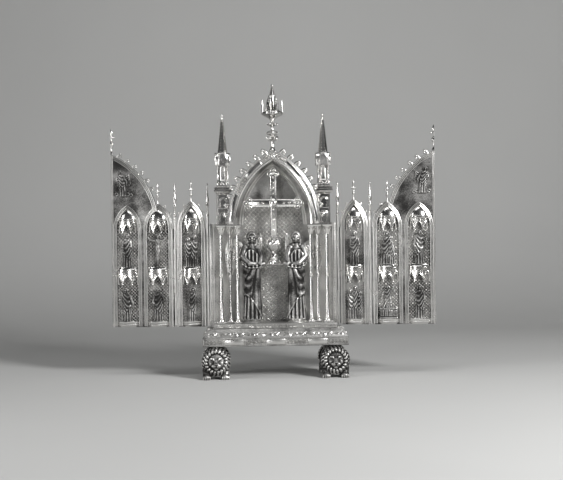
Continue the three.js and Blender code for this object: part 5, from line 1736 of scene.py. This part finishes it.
def make_pin():
    """A hinge pin that ends above the leaves as a slender colonnette with a spire."""
    r = PIN_RADIUS
    low, seat = KNUCKLE_LEVELS[0] - 2.5, KNUCKLE_LEVELS[3] + GAP
    return tone(turned([
        (r, low), (r, seat), (4.2, seat), (4.2, seat + 1.4), (3, seat + 2.4), (4, seat + 3.4),
        (4, seat + 4.4), (2.6, seat + 5.6), (2.6, 420), (3.6, 421.4), (4.4, 423.6), (4.4, 425),
        (3, 427), (2.9, 431), (4.6, 438), (3.2, 446), (1.1, SPIRE_TOP - 8), (1, SPIRE_TOP - 6),
        (2.3, SPIRE_TOP - 4), (2.2, SPIRE_TOP - 2.4), (0.6, SPIRE_TOP)], 14), 0.05)


class ShrineSizes(bpy.types.PropertyGroup):
    """The sizes of the ornament, in millimetres."""

    lozenge: bpy.props.FloatProperty(
        name="Lozenge", description="Width of a lozenge of the diapered grounds", default=16.6,
        min=3)
    wire: bpy.props.FloatProperty(
        name="Wire", description="Radius of the filigree wire", default=0.8, min=0.2)
    crocket: bpy.props.FloatProperty(
        name="Crocket", description="Height of a crocket on the arches of the bays", default=7.0,
        min=2)
    relief_voxel: bpy.props.FloatProperty(
        name="Relief grain", description="Fineness of the small cast figures", default=0.85,
        min=0.4)
    angel_voxel: bpy.props.FloatProperty(
        name="Angel grain", description="Fineness of the two cast angels", default=1.25, min=0.6)


def finish_for(name):
    """The finishes are made once and shared."""
    # Each finish paints patina and shade into the hollows.
    made = bpy.data.materials.get("worn_and_shaded_" + name)
    if made:
        return made
    kinds = {"polished_silver": dict(less_patina_and_shade=0.55, rough=0.2, grain=0.1),
        "chased_silver": dict(less_patina_and_shade=0.3, ground=0.7, rough=0.3, grain=0.2, chased=0.35),
        "cast_silver": dict(less_patina_and_shade=0.4, ground=0.3, rough=0.27, grain=0.25),}
    return silver("worn_and_shaded_" + name, **kinds[name])


def placed_on_shrine(obj, name, nodes, slot, matrix=None, smooth=BUILT_EDGE):
    return finished(obj, name, "shrine", nodes, finish_for(slot), matrix, smooth)


class SHRINE_OT_base(bpy.types.Operator):
    """Makes the stepped base with its filigree band"""

    bl_idname = "shrine.base"
    bl_label = "Base"

    def execute(self, context):
        placed_on_shrine(make_base(context.scene.shrine_sizes), "stepped_base", ["base"],
            "chased_silver")
        return {"FINISHED"}


class SHRINE_OT_lions(bpy.types.Operator):
    """Makes the four lion feet"""

    bl_idname = "shrine.lions"
    bl_label = "Lion feet"

    def execute(self, context):
        master = make_lion()
        for side, sign in SIDES:
            for end, turn in (("front", 0), ("rear", math.pi)):
                matrix = (Matrix.Diagonal((sign, 1, 1, 1)) @ Matrix.Translation((LION_X, 0, 0))
                    @ Matrix.Rotation(turn, 4, "Z"))
                placed_on_shrine(copied(master, "lion"), f"{side}_{end}_lion",
                    [f"{side}_{end}_lion_foot"], "cast_silver", matrix, CAST_EDGE)
        bpy.data.objects.remove(master)
        return {"FINISHED"}


class SHRINE_OT_wall(bpy.types.Operator):
    """Makes the diapered back wall with its inner arch"""

    bl_idname = "shrine.wall"
    bl_label = "Back wall"

    def execute(self, context):
        placed_on_shrine(make_wall(context.scene.shrine_sizes), "diapered_wall", ["back_wall"],
            "chased_silver")
        return {"FINISHED"}


class SHRINE_OT_columns(bpy.types.Operator):
    """Makes the six columns of the niche"""

    bl_idname = "shrine.columns"
    bl_label = "Columns"

    def execute(self, context):
        for place, x, y, radius, plinth in COLUMNS:
            master = make_column(radius, plinth)
            for side, sign in SIDES:
                placed_on_shrine(copied(master, "column"), f"{side}_{place}_shaft",
                    [f"{side}_{place}_column"], "polished_silver",
                    Matrix.Translation((sign * x, y, 0)))
            bpy.data.objects.remove(master)
        return {"FINISHED"}


class SHRINE_OT_gable(bpy.types.Operator):
    """Makes the crocketed gable and its vault"""

    bl_idname = "shrine.gable"
    bl_label = "Gable"

    def execute(self, context):
        placed_on_shrine(make_gable(context.scene.shrine_sizes), "crocketed_gable", ["gable"],
            "polished_silver")
        return {"FINISHED"}


class SHRINE_OT_towers(bpy.types.Operator):
    """Makes the two corner towers"""

    bl_idname = "shrine.towers"
    bl_label = "Towers"

    def execute(self, context):
        master = make_tower()
        for side, sign in SIDES:
            placed_on_shrine(copied(master, "tower"), f"{side}_spired_tower", [f"{side}_tower"],
                "polished_silver", Matrix.Translation((sign * TOWER_X, TOWER_Y, 0)))
        bpy.data.objects.remove(master)
        return {"FINISHED"}


class SHRINE_OT_finial(bpy.types.Operator):
    """Makes the central finial with its lantern"""

    bl_idname = "shrine.finial"
    bl_label = "Central finial"

    def execute(self, context):
        placed_on_shrine(make_finial(), "lantern_finial", ["central_finial"], "polished_silver")
        return {"FINISHED"}


class SHRINE_OT_angels(bpy.types.Operator):
    """Makes the two angels that hold the cross"""

    bl_idname = "shrine.angels"
    bl_label = "Angels"

    def execute(self, context):
        master = make_angel(context.scene.shrine_sizes.angel_voxel)
        for side, sign in SIDES:
            placed_on_shrine(copied(master, "angel"), f"{side}_standing_angel", [f"{side}_angel"],
                "cast_silver", Matrix.Diagonal((sign, 1, 1, 1)), CAST_EDGE)
        bpy.data.objects.remove(master)
        return {"FINISHED"}


class SHRINE_OT_cross(bpy.types.Operator):
    """Makes the cross and the stand that carries it"""

    bl_idname = "shrine.cross"
    bl_label = "Cross"

    def execute(self, context):
        placed_on_shrine(make_stand(), "gemmed_stand", ["cross_stand"], "polished_silver")
        placed_on_shrine(make_cross(), "gemmed_cross", ["reliquary_cross"], "polished_silver")
        return {"FINISHED"}


def placed_on_wings(master, name, part, node, slot, smooth=BUILT_EDGE):
    """Sets a copy of a drawn piece into both wings."""
    for side, _ in SIDES:
        finished(copied(master, name), f"{side}_{name}", f"{side}_{part}_wing", [f"{side}_{node}"],
            finish_for(slot), leaf_matrix(side, part), smooth)
    bpy.data.objects.remove(master)


class SHRINE_OT_leaves(bpy.types.Operator):
    """Makes the four leaves of the wings"""

    bl_idname = "shrine.leaves"
    bl_label = "Leaves"

    def execute(self, context):
        sizes = context.scene.shrine_sizes
        placed_on_wings(make_inner_leaf(sizes), "chased_inner_leaf", "inner", "inner_leaf",
            "chased_silver")
        placed_on_wings(make_outer_leaf(sizes), "chased_outer_leaf", "outer", "outer_leaf",
            "chased_silver")
        placed_on_wings(make_half_finial(), "cut_finial", "outer", "half_finial",
            "polished_silver")
        return {"FINISHED"}


class SHRINE_OT_canopies(bpy.types.Operator):
    """Makes the canopies and the middle shelves of the bays"""

    bl_idname = "shrine.canopies"
    bl_label = "Canopies and shelves"

    def execute(self, context):
        for place, bay in BAYS.items():
            part = "inner" if place == "inner" else "outer"
            placed_on_wings(make_canopy(bay), f"{place}_dome", part, f"{place}_canopy",
                "polished_silver")
            placed_on_wings(make_middle_shelf(bay), f"{place}_ledge", part,
                f"{place}_middle_shelf", "polished_silver")
        return {"FINISHED"}


class SHRINE_OT_pins(bpy.types.Operator):
    """Makes the four hinge pins with their spires"""

    bl_idname = "shrine.pins"
    bl_label = "Hinge pins"

    def execute(self, context):
        master = make_pin()
        for side, _ in SIDES:
            for name, body, shift in (("inner", "shrine", 0),
                    ("outer", f"{side}_inner_wing", INNER_SPAN)):
                finished(copied(master, "pin"), f"{side}_{name}_spired_pin", body,
                    [f"{side}_{name}_hinge_pin"], finish_for("polished_silver"),
                    leaf_matrix(side, "inner") @ Matrix.Translation((shift, 0, 0)))
        bpy.data.objects.remove(master)
        return {"FINISHED"}


class SHRINE_OT_reliefs(bpy.types.Operator):
    """Makes the figures in the bays and the angels in the spandrels"""

    bl_idname = "shrine.reliefs"
    bl_label = "Reliefs"

    def execute(self, context):
        voxel = context.scene.shrine_sizes.relief_voxel
        for side, bays in BAY_SCENES.items():
            for place, scenes in bays.items():
                part = "inner" if place == "inner" else "outer"
                for level, foot, name in zip(("upper", "lower"), (MID_SHELF_TOP, SHELF_TOP),
                        scenes):
                    shift = Matrix.Translation((BAYS[place]["u"], 0, foot + GAP))
                    finished(make_scene(name, voxel), f"{side}_{place}_{level}_relief",
                        f"{side}_{part}_wing", [f"{side}_{place}_{level}_{name}"],
                        finish_for("cast_silver"),
                        leaf_matrix(side, part) @ shift, CAST_EDGE)
        placed_on_wings(make_spandrel_angel(voxel), "cloud_angel", "outer", "spandrel_angel",
            "cast_silver", CAST_EDGE)
        return {"FINISHED"}


BAY_SCENES = {"left": {"inner": ("two_mourners", "bound_figure"),
    "hinge": ("crucified_figure", "pointing_figure"),
    "edge": ("standing_saint", "striding_figure")},
    "right": {"inner": ("reading_saint", "group_of_three"),
    "hinge": ("embracing_pair", "rising_figure"), "edge": ("robed_prophet", "blessing_saint")},}


class SHRINE_OT_stage(bpy.types.Operator):
    """Makes the floor, the backdrop, the lights and the camera"""

    bl_idname = "shrine.stage"
    bl_label = "Stage"

    def execute(self, context):
        studio = context.scene.shrine_studio
        make_room(studio)
        make_lights(studio)
        make_camera(context.scene)
        return {"FINISHED"}


def make_room(studio):
    """A floor that turns up into a backdrop in one sweep."""
    steps = [(-3.0, 0.0), (1.3, 0.0), (1.6, 0.03), (1.85, 0.12), (2.05, 0.3), (2.15, 0.6),
        (2.2, 1.2), (2.2, 3.4)]
    vertices = [(side * 4.5, y, z) for y, z in steps for side in (-1, 1)]
    faces = [(2 * k, 2 * k + 1, 2 * k + 3, 2 * k + 2) for k in range(len(steps) - 1)]
    room = mesh_object(vertices, faces, "sweep")
    room.data.materials.append(studio_surface("pale_paper", studio.floor))
    only(room)
    bpy.ops.object.shade_smooth_by_angle(angle=math.radians(CAST_EDGE))


def make_lights(studio):
    """A key light from the upper right, a narrow fill on the left and a faint top light."""
    world = bpy.data.worlds.new("soft_room")
    world.use_nodes = True
    world.node_tree.nodes["Background"].inputs["Color"].default_value = (0.9, 0.95, 1, 1)
    world.node_tree.nodes["Background"].inputs["Strength"].default_value = 0.02
    bpy.context.scene.world = world
    rows = [("key", studio.key, (1.7, -2.1, 1.5), 0.7, 0.7),
        ("fill", studio.fill, (-2.2, -1.3, 0.9), 0.4, 1.6),
        ("low", studio.fill * 0.35, (-0.9, -2.6, 0.35), 0.25, 0.9),
        ("top", studio.fill * 0.4, (0, -0.6, 2.2), 1.2, 0.6)]
    for name, power, place, wide, tall in rows:
        lamp = bpy.data.lights.new(name, "AREA")
        lamp.shape = "RECTANGLE"
        lamp.size, lamp.size_y, lamp.energy = wide, tall, power
        obj = bpy.data.objects.new(name, lamp)
        bpy.context.collection.objects.link(obj)
        aim = Vector((0, 0, 0.33)) - Vector(place)
        obj.matrix_world = Matrix.Translation(place) @ aim.to_track_quat("-Z", "Y").to_matrix(
        ).to_4x4()


def make_camera(scene):
    """The camera stands where the photograph was taken from."""
    data = bpy.data.cameras.new("camera")
    data.sensor_width = SENSOR
    data.lens = FOCAL_PIXELS / PHOTO_WIDTH * SENSOR
    data.shift_x = (OBJECT_AXIS_PIXEL[1] - OBJECT_AXIS_PIXEL[0]) / PHOTO_WIDTH
    data.shift_y = (HORIZON_PIXEL[0] - HORIZON_PIXEL[1]) / PHOTO_WIDTH
    data.clip_end = 20
    obj = bpy.data.objects.new("camera", data)
    bpy.context.collection.objects.link(obj)
    azimuth = math.radians(CAMERA_AZIMUTH)
    place = Vector((math.sin(azimuth) * CAMERA_DISTANCE, -math.cos(azimuth) * CAMERA_DISTANCE,
        CAMERA_HEIGHT)) * MM
    facing = Matrix.Rotation(azimuth, 4, "Z") @ Matrix.Rotation(math.pi / 2, 4, "X")
    obj.matrix_world = (Matrix.Translation(place) @ facing
        @ Matrix.Rotation(math.radians(CAMERA_ROLL), 4, "Z"))
    scene.camera = obj
    scene.view_settings.view_transform = "Standard"


class SHRINE_PT_panel(bpy.types.Panel):
    """Lists the sizes, the finishes and the pieces"""

    bl_idname = "SHRINE_PT_panel"
    bl_label = "Folding shrine"
    bl_space_type = "VIEW_3D"
    bl_region_type = "UI"
    bl_category = "Shrine"

    def draw(self, context):
        for group in (context.scene.shrine_sizes, context.scene.shrine_finish,
                context.scene.shrine_studio):
            box = self.layout.box()
            for name in group.__annotations__:
                box.prop(group, name)
        for operator in OPERATORS:
            self.layout.operator(operator.bl_idname)


OPERATORS = (SHRINE_OT_base, SHRINE_OT_lions, SHRINE_OT_wall, SHRINE_OT_columns, SHRINE_OT_gable,
    SHRINE_OT_towers, SHRINE_OT_finial, SHRINE_OT_angels, SHRINE_OT_cross, SHRINE_OT_leaves,
    SHRINE_OT_canopies, SHRINE_OT_pins, SHRINE_OT_reliefs, SHRINE_OT_stage,)
GROUPS = {"shrine_sizes": ShrineSizes, "shrine_finish": ShrineFinish,
    "shrine_studio": ShrineStudio}


def register():
    for cls in (*GROUPS.values(), *OPERATORS, SHRINE_PT_panel):
        bpy.utils.register_class(cls)
    for name, cls in GROUPS.items():
        setattr(bpy.types.Scene, name, bpy.props.PointerProperty(type=cls))


def unregister():
    for name in GROUPS:
        delattr(bpy.types.Scene, name)
    for cls in (SHRINE_PT_panel, *reversed(OPERATORS), *GROUPS.values()):
        bpy.utils.unregister_class(cls)


def main():
    register()
    for operator in OPERATORS:
        group, name = operator.bl_idname.split(".")
        result = getattr(getattr(bpy.ops, group), name)()
        if result != {"FINISHED"}:
            raise RuntimeError(f"{operator.bl_label} was not finished: {result}")


if __name__ == "__main__":
    main()
